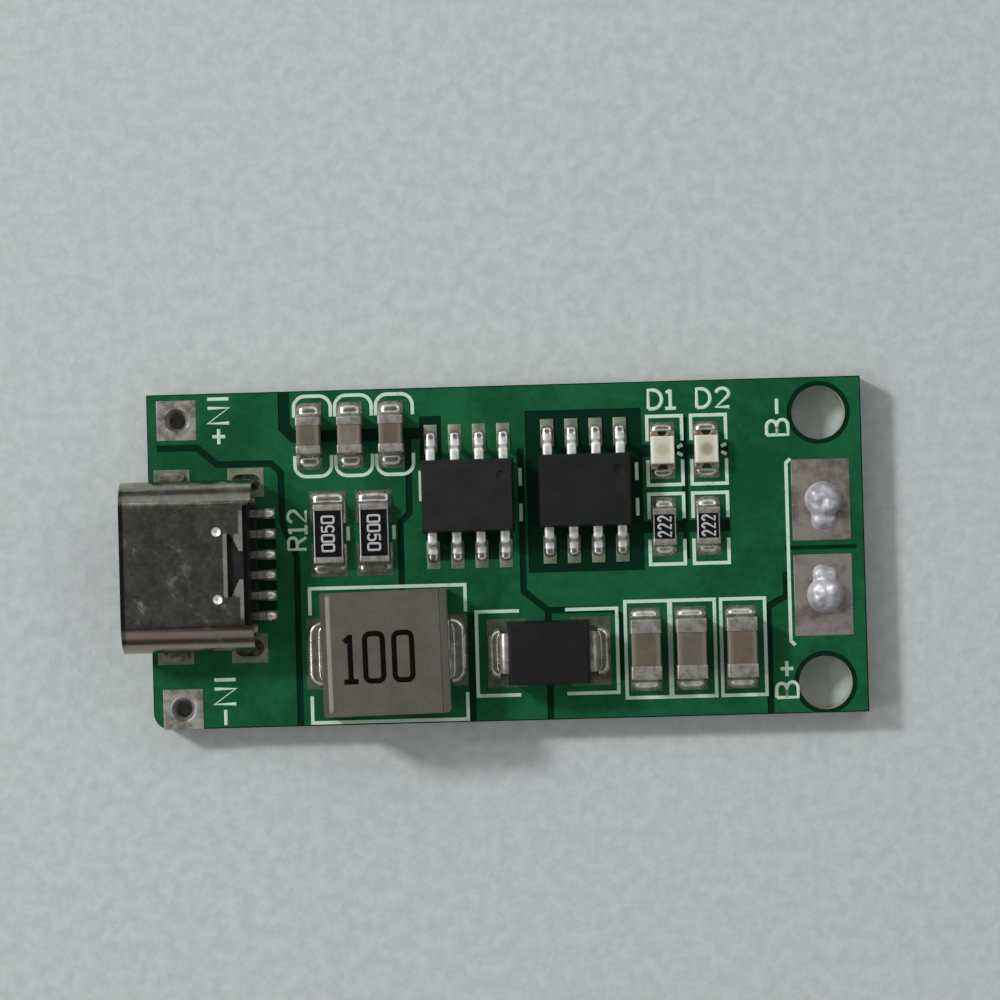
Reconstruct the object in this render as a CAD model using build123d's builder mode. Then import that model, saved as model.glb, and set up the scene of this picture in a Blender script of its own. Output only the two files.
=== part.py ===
from build123d import *
from math import cos, radians, sin
import os

# Battery charger module: a small circuit board with a USB-C socket at one end and battery pads at the other.
# Origin: middle of the board's underside. +X points to the battery end, +Z up. Millimetres.

os.makedirs("parts", exist_ok=True)

# Board
board_length = 37.5
board_width = 17.6
laminate_thickness = 1.55
copper_thickness = 0.05
tin_thickness = 0.03
rounded_corner_radius = 0.9
copper_edge_setback = 0.06
board_top = laminate_thickness + copper_thickness
pad_top = board_top + tin_thickness
print_thickness = 0.02
print_width = 0.18
left_edge = -board_length / 2
right_edge = board_length / 2
top_edge = board_width / 2
bottom_edge = -board_width / 2

# Wire holes at the input end, tinned inside, and plain holes at the battery end
wire_hole_radius = 0.68
wire_hole_bore = 0.42
wire_hole_funnel_depth = 0.6
wire_hole_inset = 1.57
wire_hole_upper_inset = 1.38
wire_hole_lower_inset = 1.05
wire_hole_x = left_edge + wire_hole_inset
wire_hole_upper_y = top_edge - wire_hole_upper_inset
wire_hole_lower_y = bottom_edge + wire_hole_lower_inset
wire_pad_size = 2.1
lining_rim = 0.04
strap_hole_radius = 1.4
strap_hole_copper_ring = 0.25
strap_hole_inset = 2.23
strap_hole_upper_inset = 1.88
strap_hole_lower_inset = 1.58
strap_hole_x = right_edge - strap_hole_inset
strap_hole_upper_y = top_edge - strap_hole_upper_inset
strap_hole_lower_y = bottom_edge + strap_hole_lower_inset

# Battery pads with a lump of solder on each
battery_pad_length = 3.05
battery_pad_width = 4.25
battery_pad_gap = 0.74
battery_pad_inset = 2.22
battery_pad_x = right_edge - battery_pad_inset
battery_pad_middle_y = -0.14
lump_radius = 0.95
lump_height = 0.75
lump_tail_radius = 0.55
lump_tail_height = 0.3
lump_tail_step = 1.25
lump_offset = 0.1

# USB-C socket
socket_y = -0.28
shell_overhang = 1.25
shell_length = 6.87
shell_width = 8.94
shell_height = 3.16
shell_wall = 0.25
shell_flank_reach = 0.45
shell_top_half_width = 3.1
shell_flank_radius = 0.4
shell_window_depth = 0.62
shell_window_from_edge = 0.2
shell_window_half_width = 1.62
shell_window_rear_half_width = 0.73
shell_dimple_radius = 0.24
shell_dimple_depth = 0.1
shell_dimple_half_spacing = 1.75
shell_dimple_setback = 1.36
shell_front_x = left_edge - shell_overhang
shell_rear_x = shell_front_x + shell_length
shell_top_rear_x = shell_rear_x - shell_flank_reach
shell_mid_z = board_top + shell_height / 2
shell_top_z = board_top + shell_height

leg_length = 0.95
leg_slot_length = 1.5
leg_slot_width = 0.85
leg_pad_length = 1.9
leg_pad_width = 1.55
leg_front_inset = 1.25
leg_front_x = left_edge + leg_front_inset
leg_rear_x = shell_rear_x - leg_length / 2
leg_tip_height = 0.15
leg_y = shell_width / 2 - shell_wall / 2
leg_clearance = 0.08

tongue_tip_setback = 0.8
tongue_width = 6.7
tongue_thickness = 0.7
tongue_root_length = 0.9
tongue_root_thickness = 1.3
insulator_length = 1.83
insulator_rear_setback = 0.27
insulator_rear_drop = 0.5

contact_count = 6
contact_width = 0.4
contact_pitch = (shell_width - shell_height - contact_width) / (contact_count - 1)
contact_thickness = 0.15
contact_proud = 0.03
contact_tip_setback = 0.5
contact_exit_height = 0.35
upper_contact_drop = 0.73
lower_contact_drop = 1.26
tail_reach = 0.75
tail_slope = 0.35
tail_pad_length = 1.0
tail_pad_width = 0.56
tail_pad_gap = 0.03

# Ceramic chip parts: length, width, height and the length of each end terminal
end_plating = 0.04
terminal_rounding = 0.09
small_cap_length = 1.95
small_cap_width = 1.3
small_cap_height = 1.2
small_cap_band = 0.45
large_cap_length = 3.15
large_cap_width = 1.6
large_cap_height = 1.55
large_cap_band = 0.72
small_resistor_length = 1.95
small_resistor_width = 1.25
small_resistor_height = 0.5
small_resistor_band = 0.33
large_resistor_length = 3.1
large_resistor_width = 1.58
large_resistor_height = 0.58
large_resistor_band = 0.33
coat_thickness = 0.03
coat_side_margin = 0.05

# Indicator lamps
lamp_length = 2.0
lamp_width = 1.27
lamp_base_height = 0.32
lamp_terminal_length = 0.3
lamp_notch_radius = 0.26
lamp_lens_length = 1.5
lamp_lens_height = 0.48
lamp_lens_taper = 4

# Eight-lead chips
chip_length = 4.85
chip_width = 3.85
chip_height = 1.45
chip_standoff = 0.12
chip_side_taper = 8
chip_bevel = 0.3
chip_dot_radius = 0.26
chip_dot_depth = 0.06
chip_dot_inset = 0.62
lead_count = 4
lead_pitch = 1.27
lead_width = 0.5
lead_thickness = 0.2
lead_span = 6.0
lead_shoulder = 0.55
lead_foot = 0.38
lead_root = 0.2
lead_bend_radius = 0.17
chip_pad_length = 1.5
chip_pad_width = 0.7
chip_pad_reach = 0.8

# Power inductor
inductor_turn = 1
inductor_length = 6.54
inductor_width = 6.42
inductor_height = 2.9
inductor_bevel = 0.36
inductor_edge_radius = 0.12
clip_width = 3.1
clip_thickness = 0.18
clip_foot = 1.5
clip_height = 1.1
clip_proud = 0.08
inductor_pad_length = 1.75
inductor_pad_width = 3.75
inductor_pad_reach = 0.95

# Power diode
diode_length = 4.3
diode_width = 3.35
diode_height = 2.05
diode_side_taper = 6
diode_lead_width = 2.1
diode_lead_thickness = 0.22
diode_lead_reach = 0.42
diode_lead_foot = 0.95
diode_lead_root = 0.25
diode_lead_bend_radius = 0.2
diode_pad_length = 2.1
diode_pad_width = 3.6
diode_pad_reach = 1.1

# Solder
solder_rim = 0.05
solder_side_margin = 0.04
solder_shoulder = 0.75
hollow_reach = 0.38
hollow_rise = 0.3
small_cap_solder_height = 0.66
large_cap_solder_height = 0.78
sense_solder_height = 0.46
small_resistor_solder_height = 0.4
lamp_solder_height = 0.29
clip_solder_height = 0.88
clip_solder_margin = 0.4
diode_solder_height = 1.0
diode_solder_margin = 0.5
leg_solder_reach = 0.5
leg_solder_height = 0.5
rear_plug_drop = 0.45

# Pads of the two-ended chip parts: reach beyond the part's end, length and width
small_cap_pad_reach = 0.8
small_cap_pad_length = 1.3
small_resistor_pad_reach = 0.58
small_resistor_pad_length = 1.1
small_cap_pad_width = 1.36
small_resistor_pad_width = 1.3
large_cap_pad_reach = 0.62
large_cap_pad_length = 1.4
large_cap_pad_width = 1.66
sense_pad_reach = 0.72
sense_pad_length = 1.75
sense_pad_width = 1.92
lamp_pad_reach = 0.5
lamp_pad_length = 1.05
lamp_pad_width = 1.32

# Rows of parts across the board: how far each lies from the board's long edges
small_cap_from_top = 2.4
lamp_from_top = 3.65
control_chip_from_top = 5.63
switch_chip_from_top = 5.76
sense_resistor_from_top = 7.55
lamp_resistor_from_top = 7.65
inductor_from_bottom = 3.78
diode_from_bottom = 3.55
large_cap_from_bottom = 3.56
small_cap_y = top_edge - small_cap_from_top
lamp_y = top_edge - lamp_from_top
control_chip_y = top_edge - control_chip_from_top
switch_chip_y = top_edge - switch_chip_from_top
sense_resistor_y = top_edge - sense_resistor_from_top
lamp_resistor_y = top_edge - lamp_resistor_from_top
inductor_y = bottom_edge + inductor_from_bottom
diode_y = bottom_edge + diode_from_bottom
large_cap_y = bottom_edge + large_cap_from_bottom

# Gaps along each row, from the socket's tail pads to what ends the row
middle_row_gaps = (1.83, 0.49, 1.585, 1.27, 1.035, 0.98, 3.735)
power_row_gaps = (1.48, 1.03, 0.98, 0.72, 0.97, 2.005)
small_cap_row_gaps = (1.22, 0.8, 0.8, 1.035)


def places(first, pitch, count):
    """Evenly spaced values, starting from the first."""
    return [first + pitch * i for i in range(count)]


def row_centres(start, end, lengths, gaps):
    """Centres of a row of parts from start to end. What room the parts leave is shared in the gaps' ratio."""
    share = (end - start - sum(lengths)) / sum(gaps)
    centres = []
    edge = start
    for length, gap in zip(lengths, gaps):
        centres.append(edge + gap * share + length / 2)
        edge = centres[-1] + length / 2
    return centres


row_start = shell_rear_x + tail_pad_gap + tail_pad_length
row_end = battery_pad_x - battery_pad_length / 2
middle_row_lengths = (sense_pad_width,) * 2 + (chip_length,) * 2 + (lamp_pad_width,) * 2
middle_row = row_centres(row_start, row_end, middle_row_lengths, middle_row_gaps)
sense_resistor_xs = middle_row[:2]
switch_chip_x, control_chip_x = middle_row[2:4]
lamp_xs = middle_row[4:]
inductor_row_length = inductor_length + 2 * inductor_pad_reach
diode_row_length = diode_length + 2 * diode_pad_reach
power_row_lengths = (inductor_row_length, diode_row_length) + (large_cap_pad_width,) * 3
power_row = row_centres(row_start, row_end, power_row_lengths, power_row_gaps)
inductor_x, diode_x = power_row[:2]
large_cap_xs = power_row[2:]
chip_lead_xs = places(-lead_pitch * (lead_count - 1) / 2, lead_pitch, lead_count)
first_lead_pad_x = switch_chip_x + chip_lead_xs[0] - chip_pad_width / 2
small_cap_xs = row_centres(row_start, first_lead_pad_x, (small_cap_pad_width,) * 3, small_cap_row_gaps)
contact_ys = places(socket_y - contact_pitch * (contact_count - 1) / 2, contact_pitch, contact_count)
leg_places = [(x, side) for x in (leg_front_x, leg_rear_x) for side in (1, -1)]
wire_hole_places = [(wire_hole_x, wire_hole_upper_y), (wire_hole_x, wire_hole_lower_y)]
strap_hole_places = [(strap_hole_x, strap_hole_upper_y), (strap_hole_x, strap_hole_lower_y)]
battery_pad_spacing = (battery_pad_width + battery_pad_gap) / 2
battery_pad_places = [(battery_pad_x, battery_pad_middle_y + side * battery_pad_spacing) for side in (1, -1)]


def end_pads(centre_xs, centre_y, part_length, reach, length, width):
    """Rectangles under both ends of a row of parts that lie along Y, added to the sketch in hand."""
    offset_y = part_length / 2 + reach - length / 2
    with Locations([(x, centre_y + side * offset_y) for x in centre_xs for side in (1, -1)]):
        Rectangle(width, length)


def side_pads(centre_x, centre_y, offset_x, length, width, turn=0):
    """Two rectangles left and right of a centre, added to the sketch in hand."""
    along = (offset_x * cos(radians(turn)), offset_x * sin(radians(turn)))
    with Locations([(centre_x + side * along[0], centre_y + side * along[1]) for side in (1, -1)]):
        Rectangle(length, width, rotation=turn)


def stroke(width, *points):
    """A line of even width through the points, added to the sketch in hand."""
    with BuildLine() as path:
        Polyline(*points)
    trace(path.line, line_width=width)


# Outlines of all bare tinned pads, used for the pads and for their windows in the copper and mask
with BuildSketch(Plane.XY.offset(laminate_thickness)) as capacitor_pad_outline:
    end_pads(small_cap_xs, small_cap_y, small_cap_length, small_cap_pad_reach, small_cap_pad_length,
             small_cap_pad_width)
    end_pads(large_cap_xs, large_cap_y, large_cap_length, large_cap_pad_reach, large_cap_pad_length,
             large_cap_pad_width)

with BuildSketch(Plane.XY.offset(laminate_thickness)) as resistor_pad_outline:
    end_pads(sense_resistor_xs, sense_resistor_y, large_resistor_length, sense_pad_reach, sense_pad_length,
             sense_pad_width)
    end_pads(lamp_xs, lamp_resistor_y, small_resistor_length, small_resistor_pad_reach,
             small_resistor_pad_length, small_resistor_pad_width)
    end_pads(lamp_xs, lamp_y, lamp_length, lamp_pad_reach, lamp_pad_length, lamp_pad_width)

chip_places = [(switch_chip_x, switch_chip_y), (control_chip_x, control_chip_y)]
chip_pad_offset = lead_span / 2 + chip_pad_reach - chip_pad_length / 2
chip_pad_places = [(x, side * chip_pad_offset) for x in chip_lead_xs for side in (1, -1)]
with BuildSketch(Plane.XY.offset(laminate_thickness)) as chip_pad_outline:
    for chip_x, chip_y in chip_places:
        with Locations([(chip_x + x, chip_y + y) for x, y in chip_pad_places]):
            Rectangle(chip_pad_width, chip_pad_length)

inductor_pad_offset = inductor_length / 2 + inductor_pad_reach - inductor_pad_length / 2
diode_pad_offset = diode_length / 2 + diode_pad_reach - diode_pad_length / 2
with BuildSketch(Plane.XY.offset(laminate_thickness)) as power_pad_outline:
    side_pads(inductor_x, inductor_y, inductor_pad_offset, inductor_pad_length, inductor_pad_width)
    side_pads(diode_x, diode_y, diode_pad_offset, diode_pad_length, diode_pad_width)

with BuildSketch(Plane.XY.offset(laminate_thickness)) as battery_pad_outline:
    with Locations(battery_pad_places):
        Rectangle(battery_pad_length, battery_pad_width)

with BuildSketch(Plane.XY.offset(laminate_thickness)) as wire_pad_outline:
    with Locations(wire_hole_places):
        Rectangle(wire_pad_size, wire_pad_size)

tail_pad_x = shell_rear_x + tail_pad_gap + tail_pad_length / 2
with BuildSketch(Plane.XY.offset(laminate_thickness)) as tail_pad_outline:
    with Locations([(tail_pad_x, y) for y in contact_ys]):
        Rectangle(tail_pad_length, tail_pad_width)

with BuildSketch(Plane.XY.offset(laminate_thickness)) as leg_pad_outline:
    with Locations([(x, socket_y + side * leg_y) for x, side in leg_places]):
        Rectangle(leg_pad_length, leg_pad_width)

# Board: glass-epoxy laminate with its holes
with BuildSketch() as board_outline:
    Rectangle(board_length, board_width)
    fillet(board_outline.vertices().group_by(Axis.X)[0].sort_by(Axis.Y)[0], radius=rounded_corner_radius)

with BuildPart() as laminate:
    add(board_outline.sketch)
    extrude(amount=laminate_thickness)
    with Locations(wire_hole_places):
        Hole(radius=wire_hole_radius)
    with Locations(strap_hole_places):
        Hole(radius=strap_hole_radius)
    with BuildSketch() as leg_slots:
        with Locations([(x, socket_y + side * leg_y) for x, side in leg_places]):
            SlotOverall(leg_slot_length, leg_slot_width)
    extrude(amount=laminate_thickness, mode=Mode.SUBTRACT)
laminate.part.label = "board_laminate"
export_step(laminate.part, "parts/board_laminate.step")

# Etched copper under its green mask: the board's outline less the gaps between the nets and the pad windows
gap_width = 0.34
wide_gap_width = 0.62
thin_gap_width = 0.2
pad_to_gap = 0.41
gap_corner = 0.5
leg_to_gap = 0.2
sense_gap_above = 0.64
sense_gap_below = 1.11
switch_gap_step = 0.8
chip_to_gap = 0.35
power_gap_above = 0.5
diode_gap_rise = 0.5
diode_to_gap = 1.05
lamp_gap_reach = 1.15
lamp_column_gap_reach = 0.75
clear_zone_margin = 0.45
clear_zone_side_margin = 0.79
leg_gap_y = socket_y + leg_y + leg_pad_width / 2 + leg_to_gap
tail_gap_x = leg_rear_x + leg_pad_length / 2 + pad_to_gap
inductor_gap_x = inductor_x - inductor_row_length / 2 - pad_to_gap
sense_gap_x = sense_resistor_xs[-1] + sense_pad_width / 2 + pad_to_gap
input_gap_x = small_cap_xs[0] - small_cap_pad_width / 2 - wide_gap_width
power_gap_x = switch_chip_x + chip_length / 2 + chip_to_gap
diode_gap_y = diode_y + diode_width / 2 + diode_gap_rise
output_gap_x = large_cap_xs[0] - large_cap_pad_width / 2 - chip_to_gap
cap_gap_x = large_cap_xs[-1] + large_cap_pad_width / 2 + wide_gap_width
lamp_gap_xs = (lamp_xs[0] - lamp_gap_reach, lamp_xs[1] + lamp_gap_reach)
socket_gap = [
    (wire_hole_x - wire_pad_size / 2, wire_hole_upper_y - wire_pad_size / 2 - pad_to_gap),
    (wire_hole_x + wire_pad_size / 2, wire_hole_upper_y - wire_pad_size / 2 - pad_to_gap),
    (wire_hole_x + wire_pad_size, leg_gap_y),
    (tail_gap_x, leg_gap_y),
    (tail_gap_x + gap_corner, leg_gap_y - gap_corner),
    (tail_gap_x + gap_corner, sense_resistor_y + sense_gap_above),
    (inductor_gap_x, sense_resistor_y - sense_gap_below),
    (inductor_gap_x, bottom_edge),
]
input_gap = [
    (input_gap_x, top_edge),
    (input_gap_x, small_cap_y + gap_corner),
    (input_gap_x + gap_corner, small_cap_y),
    (switch_chip_x - chip_length / 2, small_cap_y),
]
switch_gap = [
    (sense_gap_x + gap_corner, small_cap_y),
    (sense_gap_x + gap_corner, switch_chip_y - switch_gap_step),
    (sense_gap_x, switch_chip_y - switch_gap_step - gap_corner),
    (sense_gap_x, inductor_y + inductor_width / 2),
]
power_gap = [
    (power_gap_x, switch_chip_y + chip_width / 2 + power_gap_above),
    (power_gap_x, diode_gap_y + diode_to_gap),
    (diode_x, diode_gap_y),
    (diode_x, bottom_edge),
]
output_gap = [
    (diode_x, diode_gap_y),
    (output_gap_x - gap_corner, diode_gap_y),
    (output_gap_x, diode_gap_y - gap_corner),
    (output_gap_x, large_cap_y - large_cap_length / 2),
]
diode_gap_x = diode_x - diode_row_length / 2 - 2 * pad_to_gap
diode_gap = [(diode_gap_x, diode_gap_y), (diode_gap_x, bottom_edge)]
battery_gap = [
    (row_end - pad_to_gap, battery_pad_middle_y - battery_pad_spacing / 2),
    (row_end - pad_to_gap, battery_pad_middle_y - battery_pad_spacing),
    (cap_gap_x, large_cap_y + large_cap_length / 2 + gap_corner),
    (cap_gap_x, bottom_edge),
]
pad_gap = [(row_end - pad_to_gap, battery_pad_middle_y), (right_edge - pad_to_gap, battery_pad_middle_y)]
lamp_gap = [(lamp_gap_xs[0], lamp_y), (lamp_gap_xs[1], lamp_y)]
lamp_resistor_gap = [(lamp_gap_xs[0], lamp_resistor_y), (lamp_gap_xs[1], lamp_resistor_y)]
lamp_column_gap_x = sum(lamp_xs) / 2
lamp_column_gap = [
    (lamp_column_gap_x, lamp_y + lamp_length / 2 + lamp_column_gap_reach),
    (lamp_column_gap_x, lamp_resistor_y - small_resistor_length / 2 - lamp_column_gap_reach),
]
lead_row_length = lead_pitch * (lead_count - 1) + chip_pad_width
clear_zone_length = lead_row_length + 2 * clear_zone_side_margin
clear_zone_width = 2 * (chip_pad_offset + chip_pad_length / 2 + clear_zone_margin)
first_lead_zone_width = chip_pad_length + 2 * clear_zone_margin

with BuildSketch(Plane.XY.offset(laminate_thickness)) as copper_gaps:
    for path in (socket_gap, switch_gap, power_gap, output_gap, diode_gap, battery_gap, lamp_column_gap):
        stroke(gap_width, *path)
    for path in (input_gap, lamp_gap, lamp_resistor_gap):
        stroke(wide_gap_width, *path)
    stroke(thin_gap_width, *pad_gap)
    with Locations((control_chip_x, control_chip_y)):
        Rectangle(clear_zone_length, clear_zone_width)
    with Locations((tail_pad_x, (contact_ys[0] + contact_ys[-1]) / 2)):
        Rectangle(tail_pad_length, abs(contact_ys[-1] - contact_ys[0]))
    with Locations((switch_chip_x + chip_lead_xs[0], switch_chip_y + chip_pad_offset)):
        Rectangle(chip_pad_width + clear_zone_margin, first_lead_zone_width)
    with Locations((switch_chip_x, switch_chip_y - chip_pad_offset + clear_zone_margin)):
        Rectangle(lead_row_length, chip_pad_length)

with BuildSketch(Plane.XY.offset(laminate_thickness)) as copper_outline:
    add(board_outline.sketch)
    offset(amount=-copper_edge_setback, kind=Kind.INTERSECTION, mode=Mode.REPLACE)

with BuildPart() as copper:
    with BuildSketch(Plane.XY.offset(laminate_thickness)):
        add(copper_outline.sketch)
        add(copper_gaps.sketch, mode=Mode.SUBTRACT)
        for pads in (capacitor_pad_outline, resistor_pad_outline, chip_pad_outline, power_pad_outline,
                     battery_pad_outline, wire_pad_outline, tail_pad_outline, leg_pad_outline):
            add(pads.sketch, mode=Mode.SUBTRACT)
        with Locations(strap_hole_places):
            Circle(strap_hole_radius + strap_hole_copper_ring, mode=Mode.SUBTRACT)
    extrude(amount=copper_thickness)
copper.part.label = "board_copper_and_mask"
export_step(copper.part, "parts/board_copper_and_mask.step")

# Bare tinned pads, as thick as the copper beside them and their tin
pad_thickness = copper_thickness + tin_thickness
with BuildPart() as capacitor_pads:
    add(capacitor_pad_outline.sketch)
    extrude(amount=pad_thickness)
capacitor_pads.part.label = "capacitor_pads"
export_step(capacitor_pads.part, "parts/capacitor_pads.step")

with BuildPart() as resistor_and_lamp_pads:
    add(resistor_pad_outline.sketch)
    extrude(amount=pad_thickness)
resistor_and_lamp_pads.part.label = "resistor_and_lamp_pads"
export_step(resistor_and_lamp_pads.part, "parts/resistor_and_lamp_pads.step")

with BuildPart() as chip_pads:
    add(chip_pad_outline.sketch)
    extrude(amount=pad_thickness)
chip_pads.part.label = "chip_pads"
export_step(chip_pads.part, "parts/chip_pads.step")

with BuildPart() as power_pads:
    add(power_pad_outline.sketch)
    extrude(amount=pad_thickness)
power_pads.part.label = "inductor_and_diode_pads"
export_step(power_pads.part, "parts/inductor_and_diode_pads.step")

with BuildPart() as battery_pads:
    add(battery_pad_outline.sketch)
    extrude(amount=pad_thickness)
battery_pads.part.label = "battery_pads"
export_step(battery_pads.part, "parts/battery_pads.step")

with BuildPart() as tail_pads:
    add(tail_pad_outline.sketch)
    extrude(amount=pad_thickness)
tail_pads.part.label = "socket_tail_pads"
export_step(tail_pads.part, "parts/socket_tail_pads.step")

with BuildPart() as leg_pads:
    with BuildSketch(Plane.XY.offset(laminate_thickness)):
        add(leg_pad_outline.sketch)
        add(leg_slots.sketch, mode=Mode.SUBTRACT)
    extrude(amount=pad_thickness)
leg_pads.part.label = "socket_leg_pads"
export_step(leg_pads.part, "parts/socket_leg_pads.step")

# Wire holes: a tinned pad on top and a tin lining that narrows like a funnel
with BuildPart() as wire_pads:
    add(wire_pad_outline.sketch)
    extrude(amount=pad_thickness)
    with Locations([(x, y, pad_top) for x, y in wire_hole_places]):
        Hole(radius=wire_hole_radius)
wire_pads.part.label = "wire_pads"
export_step(wire_pads.part, "parts/wire_pads.step")

with BuildPart() as wire_hole_linings:
    for x, y in wire_hole_places:
        with BuildSketch(Plane(origin=(x, y, 0), x_dir=(1, 0, 0), z_dir=(0, -1, 0))):
            Polygon(
                (wire_hole_bore, 0),
                (wire_hole_radius, 0),
                (wire_hole_radius, pad_top),
                (wire_hole_radius - lining_rim, pad_top),
                (wire_hole_bore, pad_top - wire_hole_funnel_depth),
                align=None,
            )
        revolve(axis=Axis((x, y, 0), (0, 0, 1)))
wire_hole_linings.part.label = "wire_hole_linings"
export_step(wire_hole_linings.part, "parts/wire_hole_linings.step")

# White screen print: outlines round the parts
bracket_width = 1.93
bracket_leg = 1.1
bracket_radius = 0.6
bracket_shift = 0.18
bracket_reach = 2.11
bracket_tip_upper_y = small_cap_y + bracket_reach
bracket_tip_lower_y = small_cap_y - bracket_reach
inductor_frame_half_length = 4.08
inductor_frame_half_width = 3.52
inductor_frame_shift_x = 0.08
inductor_frame_shift_y = -0.1
inductor_frame_leg = 1.4
diode_frame_left = 3.78
diode_frame_right = 3.58
diode_frame_half_width = 2.2
diode_frame_arm = 2.25
diode_frame_right_arm = 2.7
chip_dash_length = 0.92
chip_dash_gap = 0.95
chip_to_dash = 0.32
chip_to_line = 0.07
chip_line_top = 1.4
chip_line_bottom = -0.2
chip_dash_offset = chip_length / 2 + chip_to_dash
chip_line_offset = chip_length / 2 + chip_to_line
lamp_frame_left = 0.78
lamp_frame_right = 1.04
lamp_frame_half_length = 1.8
lamp_frame_leg = 1.3
resistor_frame_half_length = 1.84
resistor_frame_shift = -0.12
lamp_mark_length = 0.28
resistor_dash_length = 0.74
sense_pad_to_dash = 0.06
resistor_dash_offset = sense_pad_width / 2 + sense_pad_to_dash
large_cap_frame_left = 1.04
large_cap_frame_right = 1.26
large_cap_frame_half_length = 2.52
battery_pad_to_line = 0.25
battery_line_x = row_end - battery_pad_to_line
battery_line_hook = 0.22
battery_line_half_length = 4.66
battery_line_shift = -0.2
battery_line_y = battery_pad_middle_y + battery_line_shift
battery_line_hook_y = battery_line_half_length + battery_line_hook


def bracket(centre_x, tip_y, side):
    """A rounded bracket over one end of a capacitor, added to the sketch in hand."""
    half = bracket_width / 2
    corners = [(-half, -bracket_leg), (-half, 0), (half, 0), (half, -bracket_leg)]
    with BuildLine() as path:
        FilletPolyline(*[(centre_x + x, tip_y + side * y) for x, y in corners], radius=bracket_radius)
    trace(path.line, line_width=print_width)


def open_frame(centre_x, centre_y, left, right, half_length, leg):
    """A rectangle round a part, open at the middle of its two long sides, added to the sketch in hand."""
    for side in (1, -1):
        stroke(
            print_width,
            (centre_x - left, centre_y + side * (half_length - leg)),
            (centre_x - left, centre_y + side * half_length),
            (centre_x + right, centre_y + side * half_length),
            (centre_x + right, centre_y + side * (half_length - leg)),
        )


with BuildPart() as screen_print:
    with BuildSketch(Plane.XY.offset(board_top)):
        for x in small_cap_xs:
            bracket(x + bracket_shift, bracket_tip_upper_y, 1)
            bracket(x + bracket_shift, bracket_tip_lower_y, -1)
        for x in sense_resistor_xs:
            stroke(
                print_width,
                (x + resistor_dash_offset, sense_resistor_y - resistor_dash_length / 2),
                (x + resistor_dash_offset, sense_resistor_y + resistor_dash_length / 2),
            )
        open_frame(
            inductor_x + inductor_frame_shift_x,
            inductor_y + inductor_frame_shift_y,
            inductor_frame_half_length,
            inductor_frame_half_length,
            inductor_frame_half_width,
            inductor_frame_leg,
        )
        stroke(
            print_width,
            (diode_x - diode_frame_left + diode_frame_arm, diode_y + diode_frame_half_width),
            (diode_x - diode_frame_left, diode_y + diode_frame_half_width),
            (diode_x - diode_frame_left, diode_y - diode_frame_half_width),
            (diode_x - diode_frame_left + diode_frame_arm, diode_y - diode_frame_half_width),
        )
        stroke(
            print_width,
            (diode_x + diode_frame_right - diode_frame_right_arm, diode_y + diode_frame_half_width),
            (diode_x + diode_frame_right, diode_y + diode_frame_half_width),
            (diode_x + diode_frame_right, diode_y - diode_frame_half_width),
            (diode_x + diode_frame_right - diode_frame_right_arm, diode_y - diode_frame_half_width),
        )
        for chip_x, chip_y in chip_places:
            dash_centre = (chip_dash_length + chip_dash_gap) / 2
            for dash_y in (chip_y + dash_centre, chip_y - dash_centre):
                stroke(
                    print_width,
                    (chip_x + chip_dash_offset, dash_y - chip_dash_length / 2),
                    (chip_x + chip_dash_offset, dash_y + chip_dash_length / 2),
                )
        stroke(
            print_width,
            (switch_chip_x - chip_line_offset, switch_chip_y + chip_line_bottom),
            (switch_chip_x - chip_line_offset, switch_chip_y + chip_line_top),
        )
        for x in lamp_xs:
            open_frame(x, lamp_y, lamp_frame_left, lamp_frame_right, lamp_frame_half_length, lamp_frame_leg)
            open_frame(
                x,
                lamp_resistor_y + resistor_frame_shift,
                lamp_frame_left,
                lamp_frame_right,
                resistor_frame_half_length,
                lamp_frame_leg,
            )
            for side in (1, -1):
                stroke(
                    print_width,
                    (x + lamp_width / 2 + lamp_mark_length / 2, lamp_y + side * lamp_mark_length / 2),
                    (x + lamp_width / 2 + 1.5 * lamp_mark_length, lamp_y + side * lamp_mark_length),
                )
        for x in large_cap_xs:
            open_frame(
                x,
                large_cap_y,
                large_cap_frame_left,
                large_cap_frame_right,
                large_cap_frame_half_length,
                large_cap_frame_half_length,
            )
        stroke(
            print_width,
            (battery_line_x + battery_line_hook, battery_line_y + battery_line_hook_y),
            (battery_line_x, battery_line_y + battery_line_half_length),
            (battery_line_x, battery_line_y - battery_line_half_length),
            (battery_line_x + battery_line_hook, battery_line_y - battery_line_hook_y),
        )
        for pads in (capacitor_pad_outline, resistor_pad_outline, chip_pad_outline, power_pad_outline,
                     battery_pad_outline):
            add(pads.sketch, mode=Mode.SUBTRACT)
        add(copper_outline.sketch, mode=Mode.INTERSECT)
    extrude(amount=print_thickness)
screen_print.part.label = "screen_print_outlines"
export_step(screen_print.part, "parts/screen_print_outlines.step")

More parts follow.
